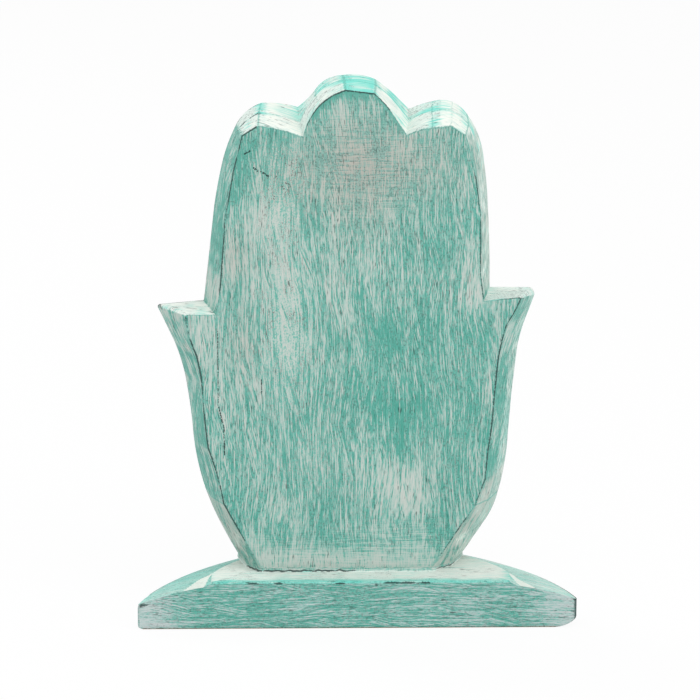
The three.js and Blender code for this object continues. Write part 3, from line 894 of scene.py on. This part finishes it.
def rim_height(outward, rim, ends):
    """A small step off the plateau's ends, then a fall that steepens towards the rim."""
    edge = PLATEAU_Z - ARRIS_RADIUS
    step = (PLATEAU_STEP - 0.7) * ends
    fall = (edge - rim - step) * outward ** RIM_FALL_POWER
    return edge - step * np.clip(outward / STEP_SHARE, 0, 1) - fall


# Bare facets beside the plateau, each a run of x, distance from the straight side, half width
CHIPS = (
    ((-89, 0, 6), (-84.5, 13, 3.8), (-79.5, 22, 1.8)),
    ((76, 38, 0.7), (82, 24, 1.7), (87.5, 10, 2.7), (93.5, 0, 4.4)),
)
# Splinters lost from the front edge, filled with wax: x, height and half length
FRONT_CHIPS = ((-57, 26.1, 2.6), (-43, 26, 2), (-9.5, 25.9, 2.4), (18, 26.2, 3.6),
               (27, 26.1, 4.6), (37, 26.1, 3), (10.7, 24.9, 1.2))


def chip_share(x, y):
    """1 inside the tapering facets beside the plateau, 0 outside."""
    inside = np.zeros_like(x)
    for run in CHIPS:
        for (a_x, a_y, a_width), (b_x, b_y, b_width) in zip(run, run[1:]):
            step_x, step_y = b_x - a_x, b_y - a_y
            across, deep = x - a_x, y - STRAIGHT_Y - a_y
            share = np.clip((across * step_x + deep * step_y) / (step_x ** 2 + step_y ** 2), 0, 1)
            distance = np.hypot(across - share * step_x, deep - share * step_y)
            width = a_width + (b_width - a_width) * share
            inside = np.maximum(inside, 1 - smooth_step(distance, width - 0.6, width))
    return inside


def base_rows():
    """The loops of the plinth from its underside to the middle of its plateau.

    Each is a zone, its outward share, its inset and, on the upright side, its share of the
    height of the rim.
    """
    upright = np.concatenate([[0, 0.03, 0.08, 0.14], np.linspace(0.2, 0.92, 11), [0.97, 1]])
    rows = [("side", 1, 0.8 * bell(row, 0.05), row) for row in upright]
    slope = np.concatenate([[0.993, 0.98, 0.96], np.linspace(0.93, 0.2, 30),
                            [0.18, 0.16, 0.14, 0.12, 0.10, 0.08, 0.06, 0.045, 0.03, 0.015, 0]])
    rows += [("rim", outward, 0, 1) for outward in slope]
    turn = np.radians([15, 30, 45, 60, 75, 90])
    rows += [("arris", 0, ARRIS_RADIUS * (1 - np.cos(t)), np.sin(t)) for t in turn]
    rows += [("plateau", 0, inset, 1) for inset in
             (1.4, 2.1, 2.8, 3.6, 4.6, 6, 8, 10.5, 13.5, 17, 21, 25, 29, 33)]
    return rows


def base_paint(zone, inset, row, at, straight, left_end):
    """Paint on one loop of the plinth, at its x, y, z.

    The front is streaked, rubbed pale at both ends and chipped along its top. The plateau is
    creamy with turquoise along its front, and the slope is turquoise over cream.
    """
    x, y, z = at
    upright, slope = zone == "side", (zone == "rim") & ~straight
    top = zone in ("arris", "plateau")
    front = straight & (not top)
    far = smooth_step(np.abs(x), 84, 116)
    chips = chip_share(x, y) * slope
    under_arris = front * smooth_step(z, PLATEAU_Z - 1.5, PLATEAU_Z - 0.9)
    pale = np.where(straight, 0.36 + 0.46 * far + 0.16 * bell(x - 62, 24), 0.5 + 0.2 * far)
    bare = np.clip(np.maximum(chips, np.where(x < 0, 0.5, 0.6) * slope) + top * 1.0, 0, 1)
    bare = bare * (1 - front) + 0.72 * under_arris * (np.abs(x) < 82)

    band = (1 - smooth_step(inset, 1, 7.5 + 2 * waves(x / 11, 41))) * straight * top
    band = band + 0.4 * bell(inset, 3) * top * ~straight * (y < STRAIGHT_Y + 20)
    tint = 0.12 + 0.2 * blotches(x, 2 * y, 16, 43)
    aqua = np.where(x < 0, 0.8, 0.55) * slope + top * tint + 0.8 * band + 1.1 * under_arris

    wear = straight * left_end * bell(z - RIM_LEFT, 3) + upright * smooth_step(
        x, BASE_HALF_LENGTH - 2.5, BASE_HALF_LENGTH - 0.5)
    corner = upright * bell(row - 1, 0.035) * (0.5 * far + 0.1)
    chipped = 0.3 * front * bell(z - PLATEAU_Z + 1.1, 0.5) * (np.abs(x) < 84)
    for at_x, at_z, half_length in FRONT_CHIPS:
        chipped = chipped + 1.1 * straight * mound(x, z, at_x, at_z, half_length, 0.55, 1)
    line = 0.75 * wear + corner + 0.4 * bell(z, 0.7) * upright
    line = line + 0.55 * bell(row, 0.04) * upright + chipped
    seam = 5.2 * chips * (1 - chips) + 0.3 * slope * (x < 0) * (1 - chips) + 0.3 * under_arris
    seam = seam + (zone == "arris") * np.where(straight, 0.6, 0.5 * bell(inset - 0.2, 0.5))
    return {"pale": pale + 0.5 * top + 0.6 * chips, "bare": bare,
            "aqua": np.where(chips > 0.4, 0, aqua), "line": np.clip(line, 0, 1),
            "seam": np.clip(seam, 0, 1), "pits": np.where(straight, 0.3, 0.1)}


def base_loop(zone, outward, inset, row):
    """One loop of the plinth with its paint.

    Its height is a share of the rim's on the side, the fall of the rim on the slope, a quarter
    round at the plateau's edge, and level with soft waves on the plateau.
    """
    loop, rim, ends = plan_loop(outward, inset)
    x, y = loop.T
    straight = np.arange(len(x)) >= ARC_COUNT
    upright = zone == "side"
    if upright:
        z = rim * row
    elif zone == "rim":
        z = rim_height(outward, rim, ends) - 0.6 * bell(outward - 1, 0.012) * ~straight
    elif zone == "arris":
        z = np.full_like(x, PLATEAU_Z - ARRIS_RADIUS * (1 - row))
    else:
        z = PLATEAU_Z - 0.15 * smooth_step(inset, 2, 6) * (1 + 0.6 * blotches(x, y, 17, 31))
    worn = np.clip(waves(x / 14, 6), 0, 1) * straight
    y = y + 0.9 * worn * (zone == "arris") + 0.5 * worn * (zone == "plateau") * bell(inset, 3)

    # the left end is rounded at its foot and top, the right end is cut away under a slope
    left_end = smooth_step(-x, BASE_HALF_LENGTH - 7, BASE_HALF_LENGTH - 1)
    rounding = 0
    for from_end, (height, depth), where in ((z, LEFT_FOOT_ROUNDING, 1),
                                             (RIM_LEFT - z, LEFT_TOP_ROUNDING, upright)):
        climb = np.clip(1 - from_end / height, 0, 1) * where
        rounding = rounding + depth * (1 - np.sqrt(1 - climb ** 2))
    x = x + rounding * left_end
    down = np.clip(1 - z / END_CUT_HEIGHT, 0, 1) ** END_CUT_POWERS[0]
    x = np.minimum(x, BASE_HALF_LENGTH - END_CUT_LENGTH * (1 - (1 - down) ** END_CUT_POWERS[1]))
    paint = base_paint(zone, inset, row, (x, y, z), straight, left_end)
    return np.stack([x, y, np.clip(z, 0, PLATEAU_Z - 0.01)], axis=-1), zone, paint


def base_piece():
    """The plinth: loops up its side, over the rim and the plateau, closed by the underside."""
    loops = [base_loop(*row) for row in base_rows()]
    points, paint = joined(loops)
    first, total, count = loops[0][0], len(points), len(loops[0][0])
    bottom, bottom_faces = base_underside(first)
    centre = (0, STRAIGHT_Y + PLATEAU_DEPTH / 2, PLATEAU_Z - 0.15)
    points = np.concatenate([points, [centre], bottom])
    quads = ring_faces(len(loops), count)
    top = fan_faces(total - count, count, total, False)
    bottom_faces = [np.where(f >= count, f - count + total + 1, f) for f in bottom_faces]

    # strokes run along the front and round the side, and along X on top
    corner = points[quads]
    index = quads % count
    straight = (index >= ARC_COUNT).all(axis=1)
    zones = np.repeat(np.array([zone for _, zone, _ in loops[1:]]), count)
    arc_length = np.append(0, np.cumsum(np.hypot(*np.diff(first[:, :2], axis=0).T)))
    level = np.repeat([loop[:, 2].mean() for loop, _, _ in loops], count)
    round_side = np.stack([-level[quads], arc_length[index]], axis=-1)
    brush = np.where(straight[:, None, None], corner[..., [2, 0]], round_side)
    on_top = np.isin(zones, ("plateau", "arris")) | ((zones == "rim") & ~straight)
    brush = np.where(on_top[:, None, None], corner[..., [1, 0]], brush)
    brush = np.concatenate([brush.reshape(-1, 2)] + [
        points[faces][..., [1, 0]].reshape(-1, 2) for faces in [top] + bottom_faces])
    paint = {key: np.concatenate([values, values[-1:], np.zeros(len(bottom))])
             for key, values in paint.items()}
    paint["raw"] = np.append(np.zeros(total + 1), np.ones(len(bottom)))
    return mesh_object("base_carved", points, [quads, top] + bottom_faces, paint, brush)


# Radius and height of each corner of a screw hole: counterbore, countersink and bore
BORE_SIDES = 40
BORE_PROFILE = ((4.7, 0), (4.7, 7.6), (2.55, 9.9), (2.55, 25))


def base_underside(rim_loop):
    """The flat underside with its two counterbored screw holes, each ending blind.

    The plan is cut into triangles round two circles, and rings climb from them up the profile
    of a hole.
    """
    angle = np.linspace(0, 2 * np.pi, BORE_SIDES, endpoint=False)
    circle = np.stack([np.cos(angle), np.sin(angle)], axis=-1)
    polygon = [[Vector((x, y, 0)) for x, y, _ in rim_loop]]
    points, walls = [], []
    count = len(rim_loop)
    start = count
    for node in screw_nodes:
        low, high = box_mm(node)
        at = (low[:2] + high[:2]) / 2
        for radius, z in BORE_PROFILE:
            points.append(np.column_stack([at + radius * circle, np.full(BORE_SIDES, z)]))
        points.append(np.array([[at[0], at[1], BORE_PROFILE[-1][1]]]))
        polygon.append([Vector((x, y, 0)) for x, y, _ in points[-1 - len(BORE_PROFILE)]])
        walls.append(start + ring_faces(len(BORE_PROFILE), BORE_SIDES)[:, ::-1])
        last = start + (len(BORE_PROFILE) - 1) * BORE_SIDES
        walls.append(fan_faces(last, BORE_SIDES, last + BORE_SIDES, True))
        start = last + BORE_SIDES + 1
    bore_size = len(BORE_PROFILE) * BORE_SIDES + 1
    number = np.concatenate([np.arange(count)] + [
        count + screw * bore_size + np.arange(BORE_SIDES) for screw in range(len(screw_nodes))])
    placed = np.concatenate([rim_loop] + points)
    flat = number[np.array(tessellate_polygon(polygon))]
    a, b, c = placed[flat[:, 0]], placed[flat[:, 1]], placed[flat[:, 2]]
    turn = np.cross(b - a, c - a)[:, 2]
    flat = np.where((turn > 0)[:, None], flat[:, ::-1], flat)
    return np.concatenate(points), [flat] + walls


# The bead of filler round the foot of the hand

BEAD_REACH = 1.6
BEAD_WOBBLE = 0.3
BEAD_CLIMB = 0.8
BEAD_SPACING = 0.6
# How deep the crack along its front opens
CRACK_DEPTH = 0.7


def bead_piece(foot):
    """Filler wiped into the corner between plateau and hand.

    Its section is a hollow curve: the reach is what is left of the height, to a power. A crack
    along the front is a bell round a wandering height. At the right side of the foot a shallow
    split is cut the same way, and its dark line is painted shade where the hand meets the plateau.
    """
    loop, normal = [], []
    for a, b in zip(foot, np.roll(foot, -1, axis=0)):
        length = np.hypot(*(b - a))
        s = np.linspace(0, 1, max(1, round(length / BEAD_SPACING)), endpoint=False)[:, None]
        loop.append(a + (b - a) * s)
        normal.append(np.tile(np.array([-(b - a)[1], (b - a)[0]]) / length, (len(s), 1)))
    loop, normal = np.concatenate(loop), np.concatenate(normal)
    normal = np.stack([np.convolve(np.pad(n, 4, mode="wrap"), np.ones(9) / 9, "valid")
                       for n in normal.T], axis=-1)
    count = len(loop)
    travel = np.arange(count) * BEAD_SPACING
    wobble = BEAD_WOBBLE * waves(travel / 9, 12)
    on_plain = loop[:, 1] < PLAIN_Y + 2
    x, y = loop.T
    right_end = (x > EDGE_CORNERS[-1, 0]) & ~on_plain
    left_end = (x < EDGE_CORNERS[0, 0]) & ~on_plain
    crack_and_shade_run = on_plain * smooth_step(6 - x, 0, 20) * (1.3 + 1.2 * waves(travel / 7, 19))
    crack_and_shade_run = np.where(left_end, 1.5 * smooth_step(PLAIN_Y + 10 - y, 0, 2.5), crack_and_shade_run)
    # painted shade: along the right side of the foot the dark line stands for the shade under the
    # hand
    crack_and_shade_run = np.where(right_end, 0.9 * bell(y - PLAIN_Y - 8, 7), crack_and_shade_run)
    crack_and_shade_run = np.clip(crack_and_shade_run, 0, 1.5)
    crack_at = 0.2 + 0.2 * waves(travel / 5, 17)
    fullness = np.where(on_plain, 1, np.where(x < 0, 0.3, 0.12))
    rows = np.concatenate([[0], np.linspace(0.03, 1, 26), [1.0]])
    low, high = box_mm("joint_filler")
    rings = []
    for number, row in enumerate(rows):
        reach = (BEAD_REACH + wobble) * fullness * (1 - row) ** 2.2 - 0.25 * row
        z = low[2] - 0.3 + (high[2] - low[2] + BEAD_CLIMB) * row
        if number == 0:
            z = z - 0.2
        if number == len(rows) - 1:
            reach = np.full(count, -2.0)
        split = bell(row - crack_at, 0.13) * crack_and_shade_run
        at = loop + normal * (reach - CRACK_DEPTH * np.minimum(split, 1))[:, None]
        rings.append((np.column_stack([at, np.full(count, z)]), "bead", {
            "pale": 0.6, "bare": 0.9 * bell(row, 0.22), "aqua": 0.1,
            "line": np.clip(1.6 * split, 0, 1), "cross": 0.6}))
    points, paint = joined(rings)
    total = len(points)
    middle = loop.mean(axis=0)
    points = np.concatenate([points, [(*middle, points[0, 2]), (*middle, points[-1, 2])]])
    faces = [ring_faces(len(rows), count), fan_faces(0, count, total, True),
             fan_faces(total - count, count, total + 1, False)]
    paint = {key: np.append(values, (0, 0)) for key, values in paint.items()}
    brush = np.concatenate([points[f][..., [2, 0]].reshape(-1, 2) for f in faces])
    return mesh_object("filler_bead", points, faces, paint, brush)


# Materials

# Settings that many nodes share: an S curve between two values, and a mix of two colours
SMOOTH = {"interpolation_type": "SMOOTHSTEP"}
COLOURS = {"data_type": "RGBA"}


def linear(hex_colour):
    """A linear colour from an sRGB hex value."""
    parts = np.array([int(hex_colour[i:i + 2], 16) for i in (1, 3, 5)]) / 255
    low = parts / 12.92
    high = ((parts + 0.055) / 1.055) ** 2.4
    return (*np.where(parts <= 0.04045, low, high), 1.0)


def add(tree, kind, inputs=(), **settings):
    """Add a shader node, set its properties, then set or link its inputs.

    Inputs are given by name, or as values in the order of those in use. A node given as a
    value links its output in use.
    """
    node = tree.nodes.new("ShaderNode" + kind)
    for name, value in settings.items():
        setattr(node, name, value)
    in_use = [socket for socket in node.inputs if socket.enabled]
    if isinstance(inputs, dict):
        in_use = [next(s for s in in_use if s.name == key) for key in inputs]
        inputs = inputs.values()
    for socket, value in zip(in_use, inputs):
        if isinstance(value, bpy.types.Node):
            value = next(output for output in value.outputs if output.enabled)
        if isinstance(value, bpy.types.NodeSocket):
            tree.links.new(value, socket)
        else:
            socket.default_value = value
    return node


def new_material(name):
    """A material with an empty node tree."""
    material = bpy.data.materials.new(name)
    material.use_nodes = True
    tree = material.node_tree
    tree.nodes.clear()
    return material, tree


def bristle_marks(tree, plane, width, length, seed, detail=2.0, turn=0.0):
    """Noise drawn out along a brush stroke.

    width and length are its grain in millimetres; turn leans the stroke, in degrees.
    """
    turned = add(tree, "Mapping", {"Vector": plane, "Rotation": (0, 0, math.radians(turn))})
    scaled = add(tree, "Mapping", {"Vector": turned, "Scale": (1 / width, 1 / length, 1),
                                   "Location": (0, 0, seed)})
    return add(tree, "TexNoise", {"Vector": scaled, "Scale": 1.0, "Detail": detail,
                                  "Roughness": 0.62}).outputs["Fac"]


def drawn_stroke(tree, brush, start, end, half_width):
    """1 on a straight stroke between two points of the plain side, 0 beside it."""
    start, end = Vector((*start, 0)), Vector((*end, 0))
    run = end - start
    offset = add(tree, "VectorMath", (brush, start), operation="SUBTRACT")
    along = add(tree, "VectorMath", (offset, run / run.length_squared), operation="DOT_PRODUCT")
    along = add(tree, "Clamp", {"Value": along})
    nearest = add(tree, "VectorMath", (run, along), operation="SCALE")
    away = add(tree, "VectorMath", (offset, nearest), operation="DISTANCE")
    return add(tree, "MapRange", (away, half_width, half_width * 0.3), **SMOOTH)


# One bristle leaves a mark that fades out after 15 to 30 mm.
STROKE_LENGTH = 24.0


def bristle_streaks(tree, paint, seed, bristle):
    """Marks of a dry brush by name; level is how thick the pale paint lies that they leave.

    Long streaks, some leaning, are broken by short ones. They lie level where the brush
    crossed the grain and give way to dabs in carving.
    """
    # strokes wander sideways by a few millimetres along their length
    brush = add(tree, "UVMap", uv_map="brush")
    pair = add(tree, "SeparateXYZ", {"Vector": brush})
    cloud = bristle_marks(tree, brush, 22, 40, seed + 11)
    wander = bristle_marks(tree, brush, 60, 95, seed + 5, 1.0)
    drift = add(tree, "Math", (wander, 16.0, -8.0), operation="MULTIPLY_ADD")
    bent = add(tree, "Math", (pair.outputs["X"], drift), operation="ADD")
    plane = add(tree, "CombineXYZ", {"X": bent, "Y": pair.outputs["Y"]})

    straight = bristle_marks(tree, plane, bristle, STROKE_LENGTH, seed, 3.0)
    leaning = bristle_marks(tree, plane, bristle, STROKE_LENGTH, seed + 3, 3.0, -14.0)
    level_patch = bristle_marks(tree, plane, STROKE_LENGTH, bristle, seed + 19, 3.0)
    short = bristle_marks(tree, plane, bristle * 0.5, bristle * 7, seed + 7)
    short_level = bristle_marks(tree, plane, bristle * 10, bristle * 0.55, seed + 23)
    fleck = bristle_marks(tree, brush, 0.8, 1.0, seed + 13)
    which = bristle_marks(tree, plane, 7, 22, seed + 41, 1.0)
    which = add(tree, "MapRange", (which, 0.56, 0.62), **SMOOTH)
    crossed = add(tree, "Math", (paint["cross"], 0.62), operation="MULTIPLY")
    rubbed = add(tree, "MapRange", (paint["pits"], 0.1, 0.9, 0.2, 0.8), **SMOOTH)
    calm = add(tree, "Math", (paint["worked"], 0.8), operation="MULTIPLY")
    streak, fine = straight, short
    for share, mark in ((which, leaning), (crossed, level_patch)):
        streak = add(tree, "Mix", (share, streak, mark))
    for share, mark in ((crossed, short_level), (rubbed, fleck)):
        fine = add(tree, "Mix", (share, fine, mark))
    dabs = add(tree, "Mix", (0.3, 0.5, fleck))
    level = streak
    for share, mark in ((0.55, fine), (calm, dabs)):
        level = add(tree, "Mix", (share, level, mark))
    for amount, strength in ((paint["pale"], 0.20), (cloud, 0.05)):
        lift = add(tree, "Math", (amount, strength, -strength / 2), operation="MULTIPLY_ADD")
        level = add(tree, "Math", (level, lift), operation="ADD")
    return {"brush": brush, "plane": plane, "cloud": cloud, "straight": straight,
            "fleck": fleck, "fine": fine, "level": level}


def ragged_line(tree, fleck, amount, low, high, strength):
    """A drawn line whose edge is broken up by flecks."""
    ragged = add(tree, "Math", (fleck, 1.2, -0.6), operation="MULTIPLY_ADD")
    line = add(tree, "Math", (amount, ragged), operation="ADD")
    return add(tree, "MapRange", (line, low, high, 0, strength), **SMOOTH)


def dark_wax(tree, paint, marks, seed, grain, scratches):
    """How much dark wax stays: in creases, open grain, pores and scratches, and beside streaks,
    where the thin dark edge is also painted shade along each ridge of paint.
    """
    brush, fleck = marks["brush"], marks["fleck"]
    slit = bristle_marks(tree, marks["plane"], 0.5, 5.5, seed + 31, 1.0)
    slit = add(tree, "MapRange", (slit, 0.64, 0.71, 0, grain), **SMOOTH)
    gate = bristle_marks(tree, brush, 9, 16, seed + 37, 1.0)
    gate = add(tree, "MapRange", (gate, 0.42, 0.58), **SMOOTH)
    slit = add(tree, "Math", (slit, gate), operation="MULTIPLY")
    pore = add(tree, "MapRange", (fleck, 0.58, 0.64), **SMOOTH)
    for share in (paint["pits"], gate):
        pore = add(tree, "Math", (pore, share), operation="MULTIPLY")
    # beside streaks: a thin dark edge, wax and also painted shade along each ridge of pale paint
    apart = add(tree, "Math", (marks["level"], 0.465), operation="SUBTRACT")
    apart = add(tree, "Math", (apart,), operation="ABSOLUTE")
    beside = add(tree, "MapRange", (apart, 0.045, 0.012), **SMOOTH)
    speck = add(tree, "MapRange", (fleck, 0.48, 0.6, 0, 0.5), **SMOOTH)
    beside = add(tree, "Math", (beside, speck), operation="MULTIPLY")
    held = [slit, pore, beside]
    for start, end, half_width in scratches:
        stroke = drawn_stroke(tree, brush, start, end, half_width)
        stroke = add(tree, "Math", (stroke, fleck), operation="MULTIPLY")
        held.append(add(tree, "MapRange", (stroke, 0.42, 0.52), **SMOOTH))
    wax = ragged_line(tree, fleck, paint["line"], 0.30, 0.78, 0.9)
    for place in held:
        wax = add(tree, "Math", (wax, place), operation="MAXIMUM")
    return wax


def sawn_underside(tree, colour, streak):
    """The unpainted underside and its bores, in plain sawn wood."""
    place = add(tree, "SeparateXYZ", {"Vector": add(tree, "TexCoord").outputs["Object"]})
    raw = add(tree, "MapRange", (place.outputs["Z"], 0.0003, 0.0001))
    bore = add(tree, "Attribute", attribute_name="raw").outputs["Fac"]
    raw = add(tree, "Math", (raw, bore), operation="MAXIMUM")
    wood = add(tree, "Mix", (streak, linear("#B98F62"), linear("#DDBD92")), **COLOURS)
    return add(tree, "Mix", (raw, colour, wood), **COLOURS)


def chalk_paint(name, seed, bristle, grain, pale_grey, scratches=(), bare_underside=False):
    """Matt chalk paint on carved mango wood, dry-brushed and waxed.

    A turquoise coat shows through pale grey paint dragged over it in fine bristle streaks.
    Upward cuts hold thick creamy paint with turquoise dragged through it. Dark wax stays in
    creases, pores, open grain and scratches; the same dark colour also lays painted shade in
    the carving's hollows, beside the streaks and along the right side of the hand's foot, and
    the pale paint lays painted light on the carving's raised forms. bristle is the width of a
    bristle's mark, grain the amount of open grain, pale_grey the colours of the dragged paint
    where it is thin and thick, and a scratch is given by its two ends and half width.
    """
    material, tree = new_material(name)
    paint = {key: add(tree, "Attribute", attribute_name=key).outputs["Fac"]
             for key in PAINT_KEYS}
    marks = bristle_streaks(tree, paint, seed, bristle)
    level = marks["level"]

    # turquoise, deepest between bristle marks, and pale grey, lightest where it is thick
    deep, left, thin = (add(tree, "MapRange", (level, low, high), **SMOOTH)
                        for low, high in ((0.36, 0.48), (0.462, 0.533), (0.50, 0.62)))
    coats = []
    for share, one, other, greyed in ((deep, "#489F8F", "#6DB6A8", "#8CAEA5"),
                                      (thin, *pale_grey, "#B4B2A9")):
        coat = add(tree, "Mix", (share, linear(one), linear(other)), **COLOURS)
        coats.append(add(tree, "Mix", (paint["grey"], coat, linear(greyed)), **COLOURS))

    # thick creamy paint on upward cuts, with turquoise dragged through it
    pull = add(tree, "Math", (paint["aqua"], 0.30, -0.15), operation="MULTIPLY_ADD")
    pull = add(tree, "Math", (marks["straight"], pull), operation="ADD")
    pull = add(tree, "Math", (marks["cloud"], 0.25, pull), operation="MULTIPLY_ADD")
    drag = add(tree, "MapRange", (pull, 0.51, 0.84), **SMOOTH)
    cream = add(tree, "Mix", (thin, linear("#D2E0D9"), linear("#E7EBE3")), **COLOURS)
    thick = add(tree, "Mix", (drag, cream, linear("#75D4C6")), **COLOURS)
    torn = add(tree, "Math", (marks["fine"], 0.9, -0.45), operation="MULTIPLY_ADD")
    torn = add(tree, "Math", (paint["bare"], torn), operation="ADD")
    torn = add(tree, "MapRange", (torn, 0.30, 0.60), **SMOOTH)

    # the coats from the bottom up: deep turquoise where two cuts meet, then dark wax, which also
    # lays painted shade in the carving's hollows, beside streaks and by the hand's right foot
    seam = ragged_line(tree, marks["fleck"], paint["seam"], 0.25, 0.85, 0.7)
    wax = dark_wax(tree, paint, marks, seed, grain, scratches)
    colour = coats[0]
    for share, coat in ((left, coats[1]), (torn, thick), (seam, linear("#62B1A4")),
                        (wax, linear("#263E3B"))):
        colour = add(tree, "Mix", (share, colour, coat), **COLOURS)
    if bare_underside:
        colour = sawn_underside(tree, colour, marks["straight"])

    # bristle ridges stand about 0.15 mm high, wax lies in the hollows
    ridge = add(tree, "Math", (level, 2.2), operation="MULTIPLY")
    ridge = add(tree, "Math", (ridge, wax), operation="SUBTRACT")
    bump = add(tree, "Bump", {"Height": ridge, "Strength": 0.9, "Distance": 0.00028})
    rough = add(tree, "MapRange", (left, 0, 1, 0.6, 0.8))
    shader = add(tree, "BsdfPrincipled", {"Base Color": colour, "Roughness": rough,
                                          "Normal": bump, "Specular IOR Level": 0.35})
    add(tree, "OutputMaterial", {"Surface": shader})
    return material


def zinc_steel():
    """Wood screws of zinc-plated, yellow passivated steel: a dull metal with fine tool marks."""
    material, tree = new_material("zinc_plated_steel")
    place = add(tree, "TexCoord").outputs["Object"]
    grain = add(tree, "TexNoise", {"Vector": place, "Scale": 900.0, "Detail": 3.0}).outputs["Fac"]
    tone = add(tree, "MapRange", (grain, 0.3, 0.7))
    colour = add(tree, "Mix", (tone, linear("#A39A74"), linear("#C4BD9C")), **COLOURS)
    bump = add(tree, "Bump", {"Height": grain, "Strength": 0.3, "Distance": 0.0001})
    shader = add(tree, "BsdfPrincipled", {"Base Color": colour, "Metallic": 1.0,
                                          "Roughness": 0.38, "Normal": bump})
    add(tree, "OutputMaterial", {"Surface": shader})
    return material


# How much of the floor's own colour gives way to white where the camera sees it
FLOOR_WHITE = 0.93
# Strength of the even light from all round
ROOM_LIGHT = 0.62
# Half the floor's width and how far it lies under the ornament, in metres
FLOOR_HALF_WIDTH = 6.0
FLOOR_DROP = 0.0001
# Middle of the ornament, in metres
LAMP_AIM = (0, 0, 0.14)


def seen_directly(tree):
    """1 for rays from the camera, also by way of gloss or glass, and 0 for all others."""
    rays = add(tree, "LightPath")
    seen = rays.outputs["Is Camera Ray"]
    for kind in ("Is Glossy Ray", "Is Transmission Ray"):
        seen = add(tree, "Math", (seen, rays.outputs[kind]), operation="MAXIMUM")
    return seen


def stage_floor():
    """A plain pale floor that reads as white to the camera, but keeps the contact shadow.

    It lies a hair under the ornament and is clear from below.
    """
    mesh = bpy.data.meshes.new("stage_floor")
    corners = [(-1, -1), (1, -1), (1, 1), (-1, 1)]
    mesh.from_pydata([(x * FLOOR_HALF_WIDTH, y * FLOOR_HALF_WIDTH, -FLOOR_DROP)
                      for x, y in corners], [], [(0, 1, 2, 3)])
    floor = new_object("stage_floor", mesh)
    material, tree = new_material("pale_floor")
    matt = add(tree, "BsdfDiffuse", {"Color": (0.85, 0.85, 0.85, 1)})
    white = add(tree, "Emission", {"Color": (1, 1, 1, 1), "Strength": 1.0})
    share = add(tree, "Math", (seen_directly(tree), FLOOR_WHITE), operation="MULTIPLY")
    blend = add(tree, "MixShader", (share, matt, white))
    below = add(tree, "NewGeometry").outputs["Backfacing"]
    blend = add(tree, "MixShader", (below, blend, add(tree, "BsdfTransparent")))
    add(tree, "OutputMaterial", {"Surface": blend})
    mesh.materials.append(material)


def white_world():
    """Even light from all round; white where the camera sees it."""
    world = bpy.data.worlds.new("pale_room")
    bpy.context.scene.world = world
    world.use_nodes = True
    tree = world.node_tree
    tree.nodes.clear()
    room = add(tree, "Background", {"Color": (1, 1, 1, 1), "Strength": ROOM_LIGHT})
    white = add(tree, "Background", {"Color": (1, 1, 1, 1), "Strength": 1.0})
    blend = add(tree, "MixShader", (seen_directly(tree), room, white))
    add(tree, "OutputWorld", {"Surface": blend})


def soft_lamp(name, place, size, watts):
    """A square soft box aimed at the middle of the ornament; place in metres."""
    data = bpy.data.lights.new(name, "AREA")
    data.shape = "SQUARE"
    data.size = size
    data.energy = watts
    lamp = new_object(name, data)
    lamp.location = place
    aim = Vector(LAMP_AIM) - Vector(place)
    lamp.rotation_euler = aim.to_track_quat("-Z", "Y").to_euler()


def place_camera():
    """The photograph's viewpoint: a long lens, a little above the ornament."""
    data = bpy.data.cameras.new("camera")
    data.lens = CAMERA_LENS
    data.sensor_width = CAMERA_FILM_WIDTH
    data.clip_end = 20
    camera = new_object("camera", data)
    azimuth, elevation = math.radians(CAMERA_AZIMUTH), math.radians(CAMERA_ELEVATION)
    back = Vector((math.sin(azimuth) * math.cos(elevation),
                   -math.cos(azimuth) * math.cos(elevation), math.sin(elevation)))
    camera.location = (Vector(CAMERA_TARGET) + back * CAMERA_DISTANCE) * MM
    camera.rotation_euler = (-back).to_track_quat("-Z", "Y").to_euler()
    bpy.context.scene.camera = camera


def dress(piece, node, material):
    """Let a piece stand for a frame node, in its finish."""
    piece.data.materials.append(material)
    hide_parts(node)
    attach(piece, "root")


place_camera()
white_world()
stage_floor()
soft_lamp("soft_box_top", (0.3, -0.9, 2.0), 1.6, 19)
soft_lamp("soft_box_left", (-1.9, -1.3, 0.9), 1.2, 4)
soft_lamp("soft_box_right", (1.9, -1.2, 0.8), 1.2, 12)
soft_lamp("soft_box_back", (-1.5, 1.4, 1.5), 0.9, 17)

board, foot_outline = hand_piece()
dress(board, "hand",
      chalk_paint("chalk_painted_hand", 1.3, 0.8, 0.7, ("#A3C3BA", "#C4CBC4"), HAND_SCRATCHES))
dress(base_piece(), "base",
      chalk_paint("chalk_painted_plinth", 60.3, 0.6, 0.75, ("#A5C5C0", "#C3CDCC"),
                  bare_underside=True))
dress(bead_piece(foot_outline), "joint_filler",
      chalk_paint("chalk_painted_filler", 90.3, 0.8, 0.0, ("#A3C3BA", "#C4CBC4")))
steel = zinc_steel()
for node in screw_nodes:
    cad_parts[node].data.materials.clear()
    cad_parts[node].data.materials.append(steel)

bpy.context.view_layer.update()
bpy.context.scene.view_settings.view_transform = "Standard"
